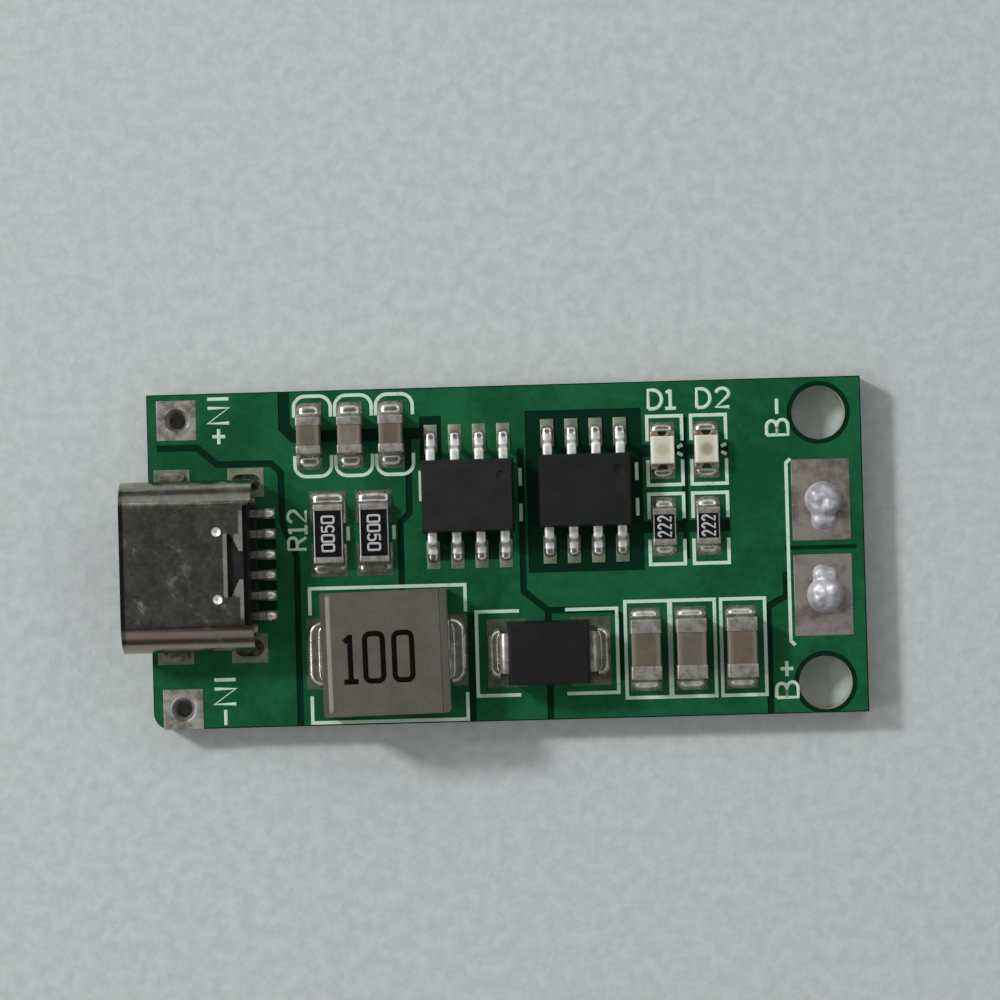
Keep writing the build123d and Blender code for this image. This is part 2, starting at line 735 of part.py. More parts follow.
# Socket shell: one stamped and rolled steel sheet with four legs
with BuildPart() as socket_shell:
    with BuildSketch(Plane.YZ.offset(shell_front_x)):
        with Locations((socket_y, shell_mid_z)):
            SlotOverall(shell_width, shell_height)
            SlotOverall(shell_width - 2 * shell_wall, shell_height - 2 * shell_wall, mode=Mode.SUBTRACT)
    extrude(amount=shell_length)
    flank_arc_x = shell_rear_x - shell_flank_radius
    with BuildSketch(Plane.XY.offset(shell_mid_z)):
        with BuildLine():
            for side in (1, -1):
                top_corner = (shell_top_rear_x, socket_y + side * shell_top_half_width)
                arc_start = (flank_arc_x, socket_y + side * shell_top_half_width)
                arc_end = (shell_rear_x, socket_y + side * (shell_top_half_width + shell_flank_radius))
                Line(top_corner, arc_start)
                RadiusArc(arc_start, arc_end, side * -shell_flank_radius)
            Line(
                (shell_top_rear_x, socket_y - shell_top_half_width),
                (shell_top_rear_x, socket_y + shell_top_half_width),
            )
            Line(
                (shell_rear_x, socket_y + shell_top_half_width + shell_flank_radius),
                (shell_rear_x, socket_y - shell_top_half_width - shell_flank_radius),
            )
        make_face()
    extrude(amount=shell_height, mode=Mode.SUBTRACT)
    window_front_x = shell_top_rear_x - shell_window_depth - shell_window_from_edge
    window_knee_x = window_front_x + shell_window_from_edge
    with BuildSketch(Plane.XY.offset(shell_mid_z)):
        Polygon(
            (window_front_x, socket_y - shell_window_half_width),
            (window_knee_x, socket_y - shell_window_half_width),
            (shell_top_rear_x - shell_window_from_edge, socket_y - shell_window_rear_half_width),
            (shell_top_rear_x, socket_y - shell_window_rear_half_width),
            (shell_top_rear_x, socket_y + shell_window_rear_half_width),
            (shell_top_rear_x - shell_window_from_edge, socket_y + shell_window_rear_half_width),
            (window_knee_x, socket_y + shell_window_half_width),
            (window_front_x, socket_y + shell_window_half_width),
            align=None,
        )
    extrude(amount=shell_height, mode=Mode.SUBTRACT)
    dimple_ball_radius = (shell_dimple_radius**2 + shell_dimple_depth**2) / (2 * shell_dimple_depth)
    dimple_x = shell_top_rear_x - shell_dimple_setback
    dimple_z = shell_top_z + dimple_ball_radius - shell_dimple_depth
    with Locations([(dimple_x, socket_y + side * shell_dimple_half_spacing, dimple_z) for side in (1, -1)]):
        Sphere(radius=dimple_ball_radius, mode=Mode.SUBTRACT)
    window_drop = shell_height / 2
    for x, side in leg_places:
        with Locations((x, socket_y + side * leg_y, shell_mid_z - window_drop / 2)):
            Box(leg_length + 2 * leg_clearance, shell_height / 2, window_drop, mode=Mode.SUBTRACT)
        with BuildSketch(Plane.XY.offset(leg_tip_height)):
            with Locations((x, socket_y + side * leg_y)):
                Rectangle(leg_length, shell_wall)
        extrude(amount=shell_mid_z - leg_tip_height)
socket_shell.part.label = "socket_shell"
export_step(socket_shell.part, "parts/socket_shell.step")

# Socket contacts: six strips that run from the tongue through the moulding to tails on the board
upper_contacts = (1, 4, 5)
tongue_tip_x = shell_front_x + tongue_tip_setback
insulator_front_x = shell_rear_x - insulator_rear_setback - insulator_length
tail_exit_z = board_top + contact_exit_height
tail_foot_z = pad_top + contact_thickness / 2
with BuildPart() as socket_contacts:
    for i, y in enumerate(contact_ys):
        side = 1 if i in upper_contacts else -1
        blade_z = shell_mid_z + side * (tongue_thickness / 2 + contact_proud - contact_thickness / 2)
        inner_x = insulator_front_x + (upper_contact_drop if side > 0 else lower_contact_drop)
        with BuildSketch(Plane.XZ.offset(-y)):
            with BuildLine() as strip:
                FilletPolyline(
                    (tongue_tip_x + contact_tip_setback, blade_z),
                    (inner_x, blade_z),
                    (inner_x, tail_exit_z),
                    (shell_rear_x + contact_thickness, tail_exit_z),
                    (shell_rear_x + contact_thickness + tail_slope, tail_foot_z),
                    (shell_rear_x + tail_reach, tail_foot_z),
                    radius=contact_thickness,
                )
            trace(strip.line, line_width=contact_thickness)
        extrude(amount=contact_width / 2, both=True)
socket_contacts.part.label = "socket_contacts"
export_step(socket_contacts.part, "parts/socket_contacts.step")

# Socket insulator: moulding that fills the shell's rear end and carries the tongue
with BuildPart() as socket_insulator:
    with BuildSketch(Plane.YZ.offset(insulator_front_x)):
        with Locations((socket_y, shell_mid_z)):
            SlotOverall(shell_width - 2 * shell_wall, shell_height - 2 * shell_wall)
    extrude(amount=insulator_length)
    with BuildSketch(Plane.XY.offset(shell_top_z - shell_wall - insulator_rear_drop)):
        with Locations((shell_rear_x, socket_y)):
            Rectangle(2 * shell_flank_reach, shell_width)
    extrude(amount=shell_height, mode=Mode.SUBTRACT)
    with Locations((insulator_front_x, socket_y, shell_mid_z)):
        Box(
            insulator_front_x - tongue_tip_x,
            tongue_width,
            tongue_thickness,
            align=(Align.MAX, Align.CENTER, Align.CENTER),
        )
        Box(
            tongue_root_length,
            tongue_width,
            tongue_root_thickness,
            align=(Align.MAX, Align.CENTER, Align.CENTER),
        )
    fillet(
        socket_insulator.edges().filter_by(Axis.Z).group_by(Axis.X)[0],
        radius=tongue_thickness / 2,
    )
    add(socket_contacts.part, mode=Mode.SUBTRACT)
    for x, side in leg_places:
        with Locations((x, socket_y + side * leg_y, shell_mid_z - window_drop / 2)):
            Box(
                leg_length + 2 * leg_clearance,
                shell_wall + 2 * leg_clearance,
                window_drop,
                mode=Mode.SUBTRACT,
            )
socket_insulator.part.label = "socket_insulator"
export_step(socket_insulator.part, "parts/socket_insulator.step")


def seat_at(x, y, turn=0):
    """A plane on top of the pads with its centre under a part."""
    return Plane(origin=(x, y, pad_top), x_dir=(cos(radians(turn)), sin(radians(turn)), 0), z_dir=(0, 0, 1))


def ceramic_block(seat, length, width, height, base=end_plating):
    """The ceramic of a chip part that lies along the seat's Y, inside its end plating."""
    with BuildPart(seat.offset(base)) as block:
        Box(
            width - 2 * end_plating,
            length - 2 * end_plating,
            height - end_plating - base,
            align=(Align.CENTER, Align.CENTER, Align.MIN),
        )
    return block


def end_caps(seat, inside, length, width, height, band):
    """Plated caps over both ends of a chip part, with rounded upper edges."""
    with BuildPart() as caps:
        with Locations(seat):
            with Locations((0, (length - band) / 2, 0), (0, (band - length) / 2, 0)):
                Box(width, band, height, align=(Align.CENTER, Align.CENTER, Align.MIN))
        upper = caps.edges().group_by(Axis.Z)[-1]
        rim = upper.group_by(Axis.Y)[0] + upper.group_by(Axis.Y)[-1] + upper.filter_by(Axis.Y)
        fillet(rim, radius=terminal_rounding)
        add(inside, mode=Mode.SUBTRACT)
    return caps


def solder_ramp(foot, outward, reach, height, width, crest_width):
    """Solder that climbs in a hollow curve from a pad to a terminal's foot."""
    out = Vector(outward)
    hollow = (reach * hollow_reach, solder_rim + height * hollow_rise)
    across = Vector(0, 0, 1).cross(out)
    corner = min(reach, width / 2) * solder_shoulder
    with BuildPart() as ramp:
        with BuildSketch(Plane(origin=foot, x_dir=out, z_dir=out.cross(Vector(0, 0, 1)))):
            with BuildLine():
                Polyline((0, height), (0, 0), (reach, 0), (reach, solder_rim))
                ThreePointArc((reach, solder_rim), hollow, (0, height))
            make_face()
        extrude(amount=width / 2, both=True)
        with BuildSketch(Plane(origin=foot, x_dir=across, z_dir=out)):
            Polygon(
                (-width / 2, 0),
                (width / 2, 0),
                (width / 2, solder_rim),
                (crest_width / 2, height),
                (-crest_width / 2, height),
                (-width / 2, solder_rim),
                align=None,
            )
        extrude(amount=reach, mode=Mode.INTERSECT)
        with BuildSketch(Plane(origin=foot, x_dir=out, z_dir=(0, 0, 1))) as plan:
            Rectangle(reach, width, align=(Align.MIN, Align.CENTER))
            fillet(plan.vertices().group_by(Axis.X)[-1], radius=corner)
        extrude(amount=height, mode=Mode.INTERSECT)
    return ramp.part


def end_solder(centre_xs, centre_y, length, reach, height, pad_width, part_width):
    """Solder ramps at both ends of a row of chip parts that lie along Y, added to the part in hand."""
    for x in centre_xs:
        for side in (1, -1):
            foot = (x, centre_y + side * length / 2, pad_top)
            width = pad_width - 2 * solder_side_margin
            crest_width = part_width - 2 * terminal_rounding
            add(solder_ramp(foot, (0, side, 0), reach - solder_side_margin, height, width, crest_width))


# Input capacitors, size 0805
for i, x in enumerate(small_cap_xs):
    seat = seat_at(x, small_cap_y)
    input_capacitor = ceramic_block(seat, small_cap_length, small_cap_width, small_cap_height)
    input_capacitor.part.label = f"input_capacitor_{i + 1}_ceramic"
    export_step(input_capacitor.part, f"parts/input_capacitor_{i + 1}_ceramic.step")
    input_capacitor_ends = end_caps(
        seat, input_capacitor.part, small_cap_length, small_cap_width, small_cap_height, small_cap_band
    )
    input_capacitor_ends.part.label = f"input_capacitor_{i + 1}_ends"
    export_step(input_capacitor_ends.part, f"parts/input_capacitor_{i + 1}_ends.step")

# Output capacitors, size 1206
for i, x in enumerate(large_cap_xs):
    seat = seat_at(x, large_cap_y)
    output_capacitor = ceramic_block(seat, large_cap_length, large_cap_width, large_cap_height)
    output_capacitor.part.label = f"output_capacitor_{i + 1}_ceramic"
    export_step(output_capacitor.part, f"parts/output_capacitor_{i + 1}_ceramic.step")
    output_capacitor_ends = end_caps(
        seat, output_capacitor.part, large_cap_length, large_cap_width, large_cap_height, large_cap_band
    )
    output_capacitor_ends.part.label = f"output_capacitor_{i + 1}_ends"
    export_step(output_capacitor_ends.part, f"parts/output_capacitor_{i + 1}_ends.step")

with BuildPart() as capacitor_solder:
    end_solder(small_cap_xs, small_cap_y, small_cap_length, small_cap_pad_reach, small_cap_solder_height,
               small_cap_pad_width, small_cap_width)
    end_solder(large_cap_xs, large_cap_y, large_cap_length, large_cap_pad_reach, large_cap_solder_height,
               large_cap_pad_width, large_cap_width)
capacitor_solder.part.label = "capacitor_solder"
export_step(capacitor_solder.part, "parts/capacitor_solder.step")


def resistor_coat(seat, length, width, height, band):
    """The glassy coat between the end caps, on top of the ceramic."""
    with BuildPart(seat.offset(height - end_plating)) as coat:
        Box(
            width - 2 * end_plating - 2 * coat_side_margin,
            length - 2 * band,
            coat_thickness,
            align=(Align.CENTER, Align.CENTER, Align.MIN),
        )
        fillet(coat.edges().filter_by(Axis.Z), radius=coat_side_margin)
    return coat


# Current sense resistors, size 1206
for i, x in enumerate(sense_resistor_xs):
    seat = seat_at(x, sense_resistor_y)
    sense_resistor = ceramic_block(seat, large_resistor_length, large_resistor_width, large_resistor_height)
    sense_resistor.part.label = f"sense_resistor_{i + 1}_ceramic"
    export_step(sense_resistor.part, f"parts/sense_resistor_{i + 1}_ceramic.step")
    sense_resistor_coat = resistor_coat(
        seat, large_resistor_length, large_resistor_width, large_resistor_height, large_resistor_band
    )
    sense_resistor_coat.part.label = f"sense_resistor_{i + 1}_coat"
    export_step(sense_resistor_coat.part, f"parts/sense_resistor_{i + 1}_coat.step")
    sense_resistor_ends = end_caps(
        seat,
        sense_resistor.part,
        large_resistor_length,
        large_resistor_width,
        large_resistor_height,
        large_resistor_band,
    )
    sense_resistor_ends.part.label = f"sense_resistor_{i + 1}_ends"
    export_step(sense_resistor_ends.part, f"parts/sense_resistor_{i + 1}_ends.step")

# Lamp resistors, size 0805
for i, x in enumerate(lamp_xs):
    seat = seat_at(x, lamp_resistor_y)
    lamp_resistor = ceramic_block(seat, small_resistor_length, small_resistor_width, small_resistor_height)
    lamp_resistor.part.label = f"lamp_resistor_{i + 1}_ceramic"
    export_step(lamp_resistor.part, f"parts/lamp_resistor_{i + 1}_ceramic.step")
    lamp_resistor_coat = resistor_coat(
        seat, small_resistor_length, small_resistor_width, small_resistor_height, small_resistor_band
    )
    lamp_resistor_coat.part.label = f"lamp_resistor_{i + 1}_coat"
    export_step(lamp_resistor_coat.part, f"parts/lamp_resistor_{i + 1}_coat.step")
    lamp_resistor_ends = end_caps(
        seat,
        lamp_resistor.part,
        small_resistor_length,
        small_resistor_width,
        small_resistor_height,
        small_resistor_band,
    )
    lamp_resistor_ends.part.label = f"lamp_resistor_{i + 1}_ends"
    export_step(lamp_resistor_ends.part, f"parts/lamp_resistor_{i + 1}_ends.step")

# Indicator lamps: white base, two notched end terminals and a clear lens over the middle
for i, x in enumerate(lamp_xs):
    seat = seat_at(x, lamp_y)
    with BuildPart(seat) as lamp_base:
        Box(
            lamp_width,
            lamp_length - 2 * lamp_terminal_length,
            lamp_base_height,
            align=(Align.CENTER, Align.CENTER, Align.MIN),
        )
    lamp_base.part.label = f"lamp_{i + 1}_base"
    export_step(lamp_base.part, f"parts/lamp_{i + 1}_base.step")

    with BuildPart() as lamp_terminals:
        with BuildSketch(seat):
            with Locations((0, lamp_length / 2), (0, -lamp_length / 2)):
                Rectangle(lamp_width, 2 * lamp_terminal_length)
            Rectangle(lamp_width, lamp_length - 2 * lamp_terminal_length, mode=Mode.SUBTRACT)
            with Locations((0, lamp_length), (0, -lamp_length)):
                Rectangle(lamp_width, lamp_length, mode=Mode.SUBTRACT)
            with Locations((0, lamp_length / 2), (0, -lamp_length / 2)):
                Circle(lamp_notch_radius, mode=Mode.SUBTRACT)
        extrude(amount=lamp_base_height)
    lamp_terminals.part.label = f"lamp_{i + 1}_terminals"
    export_step(lamp_terminals.part, f"parts/lamp_{i + 1}_terminals.step")

    with BuildPart() as lamp_lens:
        with BuildSketch(seat.offset(lamp_base_height)):
            Rectangle(lamp_width, lamp_lens_length)
        extrude(amount=lamp_lens_height, taper=lamp_lens_taper)
        fillet(lamp_lens.edges().group_by(Axis.Z)[-1], radius=terminal_rounding)
    lamp_lens.part.label = f"lamp_{i + 1}_lens"
    export_step(lamp_lens.part, f"parts/lamp_{i + 1}_lens.step")

with BuildPart() as resistor_and_lamp_solder:
    end_solder(sense_resistor_xs, sense_resistor_y, large_resistor_length, sense_pad_reach,
               sense_solder_height, sense_pad_width, large_resistor_width)
    end_solder(lamp_xs, lamp_resistor_y, small_resistor_length, small_resistor_pad_reach,
               small_resistor_solder_height, small_resistor_pad_width, small_resistor_width)
    end_solder(lamp_xs, lamp_y, lamp_length, lamp_pad_reach, lamp_solder_height, lamp_pad_width, lamp_width)
resistor_and_lamp_solder.part.label = "resistor_and_lamp_solder"
export_step(resistor_and_lamp_solder.part, "parts/resistor_and_lamp_solder.step")


def chip_leads(centre_x, centre_y):
    """Eight gull-wing leads, four on each long side."""
    exit_height = chip_standoff + chip_height / 2
    shoulder_y = chip_width / 2 + lead_shoulder
    foot_y = lead_span / 2 - lead_foot
    with BuildPart() as leads:
        for x in chip_lead_xs:
            lead_plane = Plane(origin=(centre_x + x, centre_y, pad_top), x_dir=(0, 1, 0), z_dir=(1, 0, 0))
            with BuildSketch(lead_plane):
                with BuildLine() as wing:
                    FilletPolyline(
                        (chip_width / 2 - lead_root, exit_height),
                        (shoulder_y, exit_height),
                        (foot_y, lead_thickness / 2),
                        (lead_span / 2, lead_thickness / 2),
                        radius=lead_bend_radius,
                    )
                trace(wing.line, line_width=lead_thickness)
            extrude(amount=lead_width / 2, both=True)
        mirror(about=Plane(origin=(centre_x, centre_y, 0), z_dir=(0, 1, 0)))
    return leads


def chip_body(centre_x, centre_y, leads):
    """A moulding that tapers from its parting line, bevelled and dotted on its first-lead side."""
    with BuildPart() as body:
        with BuildSketch(seat_at(centre_x, centre_y).offset(chip_standoff + chip_height / 2)):
            Rectangle(chip_length, chip_width)
        extrude(amount=chip_height / 2, both=True, taper=chip_side_taper)
        chamfer(body.edges().group_by(Axis.Z)[-1].sort_by(Axis.Y)[-1], length=chip_bevel)
        dot_x = centre_x + chip_length / 2 - chip_dot_inset
        dot_y = centre_y + chip_width / 2 - chip_bevel - chip_dot_inset
        with Locations((dot_x, dot_y, pad_top + chip_standoff + chip_height)):
            Cylinder(chip_dot_radius, 2 * chip_dot_depth, mode=Mode.SUBTRACT)
        add(leads, mode=Mode.SUBTRACT)
    return body


def lead_solder(centre_x, centre_y):
    """Solder in front of each of the eight lead toes, added to the part in hand."""
    toe_reach = chip_pad_offset + chip_pad_length / 2 - lead_span / 2 - solder_side_margin
    width = chip_pad_width - 2 * solder_side_margin
    for x in chip_lead_xs:
        for side in (1, -1):
            foot = (centre_x + x, centre_y + side * lead_span / 2, pad_top)
            add(solder_ramp(foot, (0, side, 0), toe_reach, lead_thickness, width, lead_width))


# Switch chip and control chip, both in the eight-lead outline
for name, chip_x, chip_y in (
    ("switch_chip", switch_chip_x, switch_chip_y),
    ("control_chip", control_chip_x, control_chip_y),
):
    leads = chip_leads(chip_x, chip_y)
    leads.part.label = f"{name}_leads"
    export_step(leads.part, f"parts/{name}_leads.step")
    body = chip_body(chip_x, chip_y, leads.part)
    body.part.label = f"{name}_body"
    export_step(body.part, f"parts/{name}_body.step")

with BuildPart() as chip_solder:
    lead_solder(switch_chip_x, switch_chip_y)
    lead_solder(control_chip_x, control_chip_y)
chip_solder.part.label = "chip_solder"
export_step(chip_solder.part, "parts/chip_solder.step")

# Power inductor: pressed powder block on two folded clips, with its winding sealed inside
inductor_seat = seat_at(inductor_x, inductor_y, inductor_turn)
inductor_side = Plane(origin=inductor_seat.origin, x_dir=inductor_seat.x_dir, z_dir=-inductor_seat.y_dir)
clip_outer = inductor_length / 2 + clip_proud
with BuildPart() as inductor_clips:
    with BuildSketch(inductor_side):
        Polygon(
            (inductor_length / 2 - clip_foot, 0),
            (clip_outer, 0),
            (clip_outer, clip_height),
            (clip_outer - clip_thickness, clip_height),
            (clip_outer - clip_thickness, clip_thickness),
            (inductor_length / 2 - clip_foot, clip_thickness),
            align=None,
        )
    extrude(amount=clip_width / 2, both=True)
    fillet(inductor_clips.edges().group_by(Axis.Z)[0].sort_by(Axis.X)[-1], radius=clip_thickness / 2)
    mirror(about=Plane(origin=inductor_seat.origin, z_dir=inductor_seat.x_dir))
inductor_clips.part.label = "inductor_clips"
export_step(inductor_clips.part, "parts/inductor_clips.step")

with BuildPart() as inductor_body:
    with Locations(inductor_seat):
        Box(inductor_length, inductor_width, inductor_height, align=(Align.CENTER, Align.CENTER, Align.MIN))
    top_edges = inductor_body.edges().group_by(Axis.Z)[-1].sort_by(Axis.X)
    chamfer([top_edges[0], top_edges[-1]], length=inductor_bevel)
    fillet(inductor_body.edges().filter_by(Axis.Z), radius=inductor_edge_radius)
    add(inductor_clips.part, mode=Mode.SUBTRACT)
inductor_body.part.label = "inductor_body"
export_step(inductor_body.part, "parts/inductor_body.step")

# Power diode: moulded block with two leads folded under it
diode_parting = diode_lead_thickness + diode_height / 2
lead_outer = diode_length / 2 + diode_lead_reach
with BuildPart() as diode_leads:
    with BuildSketch(Plane(origin=(diode_x, diode_y, pad_top), x_dir=(1, 0, 0), z_dir=(0, -1, 0))):
        with BuildLine() as fold:
            FilletPolyline(
                (diode_length / 2 - diode_lead_root, diode_parting),
                (lead_outer - diode_lead_thickness / 2, diode_parting),
                (lead_outer - diode_lead_thickness / 2, diode_lead_thickness / 2),
                (diode_length / 2 - diode_lead_foot, diode_lead_thickness / 2),
                radius=diode_lead_bend_radius,
            )
        trace(fold.line, line_width=diode_lead_thickness)
    extrude(amount=diode_lead_width / 2, both=True)
    mirror(about=Plane(origin=(diode_x, diode_y, 0), z_dir=(1, 0, 0)))
diode_leads.part.label = "diode_leads"
export_step(diode_leads.part, "parts/diode_leads.step")

with BuildPart() as diode_body:
    with BuildSketch(seat_at(diode_x, diode_y).offset(diode_parting)):
        Rectangle(diode_length, diode_width)
    extrude(amount=diode_height / 2, both=True, taper=diode_side_taper)
    fillet(diode_body.edges().group_by(Axis.Z)[-1], radius=terminal_rounding)
    add(diode_leads.part, mode=Mode.SUBTRACT)
diode_body.part.label = "diode_body"
export_step(diode_body.part, "parts/diode_body.step")

with BuildPart() as power_solder:
    for side in (1, -1):
        out = inductor_seat.x_dir * side
        reach = inductor_pad_reach - clip_proud - solder_side_margin
        foot = inductor_seat.origin + out * clip_outer
        add(solder_ramp(foot, out, reach, clip_solder_height, clip_width + clip_solder_margin, clip_width))
        reach = diode_pad_reach - diode_lead_reach - solder_side_margin
        width = diode_lead_width + diode_solder_margin
        foot = (diode_x + side * lead_outer, diode_y, pad_top)
        add(solder_ramp(foot, (side, 0, 0), reach, diode_solder_height, width, diode_lead_width))
power_solder.part.label = "inductor_and_diode_solder"
export_step(power_solder.part, "parts/inductor_and_diode_solder.step")

# Solder on the socket's tails and legs
with BuildPart() as socket_solder:
    for y in contact_ys:
        foot = (shell_rear_x + tail_reach, y, pad_top)
        reach = tail_pad_gap + tail_pad_length - tail_reach
        width = tail_pad_width - 2 * solder_side_margin
        add(solder_ramp(foot, (1, 0, 0), reach, contact_thickness, width, contact_width))
    for x, side in leg_places:
        plug_top = pad_top - (rear_plug_drop if x == leg_rear_x else 0)
        with BuildSketch(Plane.XY.offset(leg_tip_height)):
            with Locations((x, socket_y + side * leg_y)):
                SlotOverall(leg_slot_length, leg_slot_width)
        extrude(amount=plug_top - leg_tip_height)
        if x == leg_front_x:
            foot = (x, socket_y + side * shell_width / 2, pad_top)
            reach = leg_solder_reach
            add(solder_ramp(foot, (0, side, 0), reach, leg_solder_height, leg_slot_length, leg_length))
    add(socket_shell.part, mode=Mode.SUBTRACT)
socket_solder.part.label = "socket_solder"
export_step(socket_solder.part, "parts/socket_solder.step")

# Lumps of solder on the battery pads, each with a smaller lobe towards the other pad
with BuildPart() as battery_solder:
    for (pad_x, pad_y), side in zip(battery_pad_places, (1, -1)):
        for x, y, radius, height in (
            (pad_x + lump_offset, pad_y, lump_radius, lump_height),
            (pad_x, pad_y - side * lump_tail_step, lump_tail_radius, lump_tail_height),
        ):
            ball_radius = (radius**2 + height**2) / (2 * height)
            with Locations((x, y, pad_top + height - ball_radius)):
                Sphere(radius=ball_radius)
    split(bisect_by=Plane.XY.offset(pad_top), keep=Keep.TOP)
battery_solder.part.label = "battery_pad_solder"
export_step(battery_solder.part, "parts/battery_pad_solder.step")
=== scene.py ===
"""Finishes, solder, lettering and studio for a small battery charger board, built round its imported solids."""
import logging
from dataclasses import dataclass, field
from enum import Enum
from math import atan2, copysign, cos, pi, radians, sin, tan
from typing import Iterable, Optional, Sequence, Union

import bmesh
import bpy
from mathutils import Matrix, Vector, geometry, noise


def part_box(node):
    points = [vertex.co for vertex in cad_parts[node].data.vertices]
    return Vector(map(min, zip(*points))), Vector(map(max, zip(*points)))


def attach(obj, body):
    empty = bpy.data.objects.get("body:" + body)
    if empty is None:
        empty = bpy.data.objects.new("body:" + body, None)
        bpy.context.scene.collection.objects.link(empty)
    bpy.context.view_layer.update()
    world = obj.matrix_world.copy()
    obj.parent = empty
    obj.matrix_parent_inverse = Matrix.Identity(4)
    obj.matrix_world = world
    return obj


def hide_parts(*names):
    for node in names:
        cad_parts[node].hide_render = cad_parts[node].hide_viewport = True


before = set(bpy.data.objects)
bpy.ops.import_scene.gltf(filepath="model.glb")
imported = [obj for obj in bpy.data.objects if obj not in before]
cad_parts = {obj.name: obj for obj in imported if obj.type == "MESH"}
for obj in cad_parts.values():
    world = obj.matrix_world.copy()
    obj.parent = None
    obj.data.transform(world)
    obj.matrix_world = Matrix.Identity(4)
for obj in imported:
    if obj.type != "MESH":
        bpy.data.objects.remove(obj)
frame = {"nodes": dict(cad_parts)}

log = logging.getLogger("charger")
MM = 0.001
BODY = "root"
# Degrees between faces past which an edge stays sharp, on rounded solder and on lettering.
ROUND = 60.0
CRISP = 35.0
# The step of a row that has only one piece.
STILL = (0.0, 0.0, 0.0)
Colour = tuple[float, float, float]
Number = Union[float, "Wire"]
Point = tuple[float, float, float]


class Maths(Enum):
    """Operations of the Math node that the finishes use."""

    ADD = "ADD"
    SUBTRACT = "SUBTRACT"
    MULTIPLY = "MULTIPLY"
    POWER = "POWER"
    ABSOLUTE = "ABSOLUTE"
    MAXIMUM = "MAXIMUM"
    MINIMUM = "MINIMUM"


class Wire:
    """A node's output socket, with arithmetic that adds Math nodes."""

    def __init__(self, graph: "Graph", socket: bpy.types.NodeSocket) -> None:
        """Keeps the socket and the graph that it is in."""
        self.graph = graph
        self.socket = socket

    def __add__(self, other: Number) -> "Wire":
        """Sum."""
        return self.graph.maths(Maths.ADD, self, other)

    def __radd__(self, other: Number) -> "Wire":
        """Sum with the wire on the right."""
        return self.graph.maths(Maths.ADD, other, self)

    def __sub__(self, other: Number) -> "Wire":
        """Difference."""
        return self.graph.maths(Maths.SUBTRACT, self, other)

    def __rsub__(self, other: Number) -> "Wire":
        """Difference with the wire on the right."""
        return self.graph.maths(Maths.SUBTRACT, other, self)

    def __mul__(self, other: Number) -> "Wire":
        """Product."""
        return self.graph.maths(Maths.MULTIPLY, self, other)

    def __rmul__(self, other: Number) -> "Wire":
        """Product with the wire on the right."""
        return self.graph.maths(Maths.MULTIPLY, other, self)

    def __pow__(self, other: Number) -> "Wire":
        """Power."""
        return self.graph.maths(Maths.POWER, self, other)

    def __abs__(self) -> "Wire":
        """Absolute value."""
        return self.graph.maths(Maths.ABSOLUTE, self, 0.0)

    def ramp(self, low: float, high: float, start: float = 0.0, end: float = 1.0) -> "Wire":
        """Smooth step of the value.

        Args:
            low: Value at which the result is start.
            high: Value at which the result is end.
            start: Result at and below low.
            end: Result at and above high.

        Returns:
            The stepped value.
        """
        sockets = {"Value": self, "From Min": low, "From Max": high, "To Min": start, "To Max": end}
        return self.graph.add("ShaderNodeMapRange", {"interpolation_type": "SMOOTHSTEP"}, sockets)


class Graph:
    """The shader node tree of a material or of the world."""

    def __init__(self, owner: Union[bpy.types.Material, bpy.types.World]) -> None:
        """Empties the owner's tree.

        Args:
            owner: The material or world.
        """
        self.owner = owner
        self.owner.use_nodes = True
        self.tree = owner.node_tree
        self.tree.nodes.clear()

    def connect(self, socket: bpy.types.NodeSocket, value: object) -> None:
        """Sets a socket's value, or links a wire to it.

        Args:
            socket: The input.
            value: A wire, a number or a tuple.
        """
        if isinstance(value, Wire):
            self.tree.links.new(value.socket, socket)
        elif isinstance(value, tuple) and len(value) == 3 and socket.type == "RGBA":
            socket.default_value = (*value, 1.0)
        else:
            socket.default_value = value

    def add(self, kind: str, settings: dict, sockets: dict, output: Union[str, int] = 0) -> Wire:
        """Adds a node.

        Args:
            kind: The node's type.
            settings: Its properties and a ramp's stops, set before the sockets.
            sockets: Values or wires for its inputs, by name or index.
            output: Name or index of the output to return.

        Returns:
            The chosen output.
        """
        node = self.tree.nodes.new(kind)
        for key, value in settings.items():
            if key == "stops":
                self.set_stops(node.color_ramp, value)
            else:
                setattr(node, key, value)
        for key, value in sockets.items():
            self.connect(node.inputs[key], value)
        return Wire(self, node.outputs[output])

    def set_stops(self, ramp: bpy.types.ColorRamp, stops: Sequence[tuple[float, Colour]]) -> None:
        """Gives a colour ramp its stops.

        Args:
            ramp: The ramp.
            stops: Place and colour of each, in order.
        """
        ramp.interpolation = "EASE"
        while len(ramp.elements) < len(stops):
            ramp.elements.new(1.0)
        for stop, (place, colour) in zip(ramp.elements, stops):
            stop.position = place
            stop.color = (*colour, 1.0)

    def maths(self, operation: Maths, first: Number, second: Number) -> Wire:
        """Adds a Math node on two values."""
        return self.add("ShaderNodeMath", {"operation": operation.value}, {0: first, 1: second})

    def close(self, shader: Wire, kind: str) -> None:
        """Links a shader to a new output node of a kind."""
        node = self.tree.nodes.new(kind)
        self.tree.links.new(shader.socket, node.inputs["Surface"])


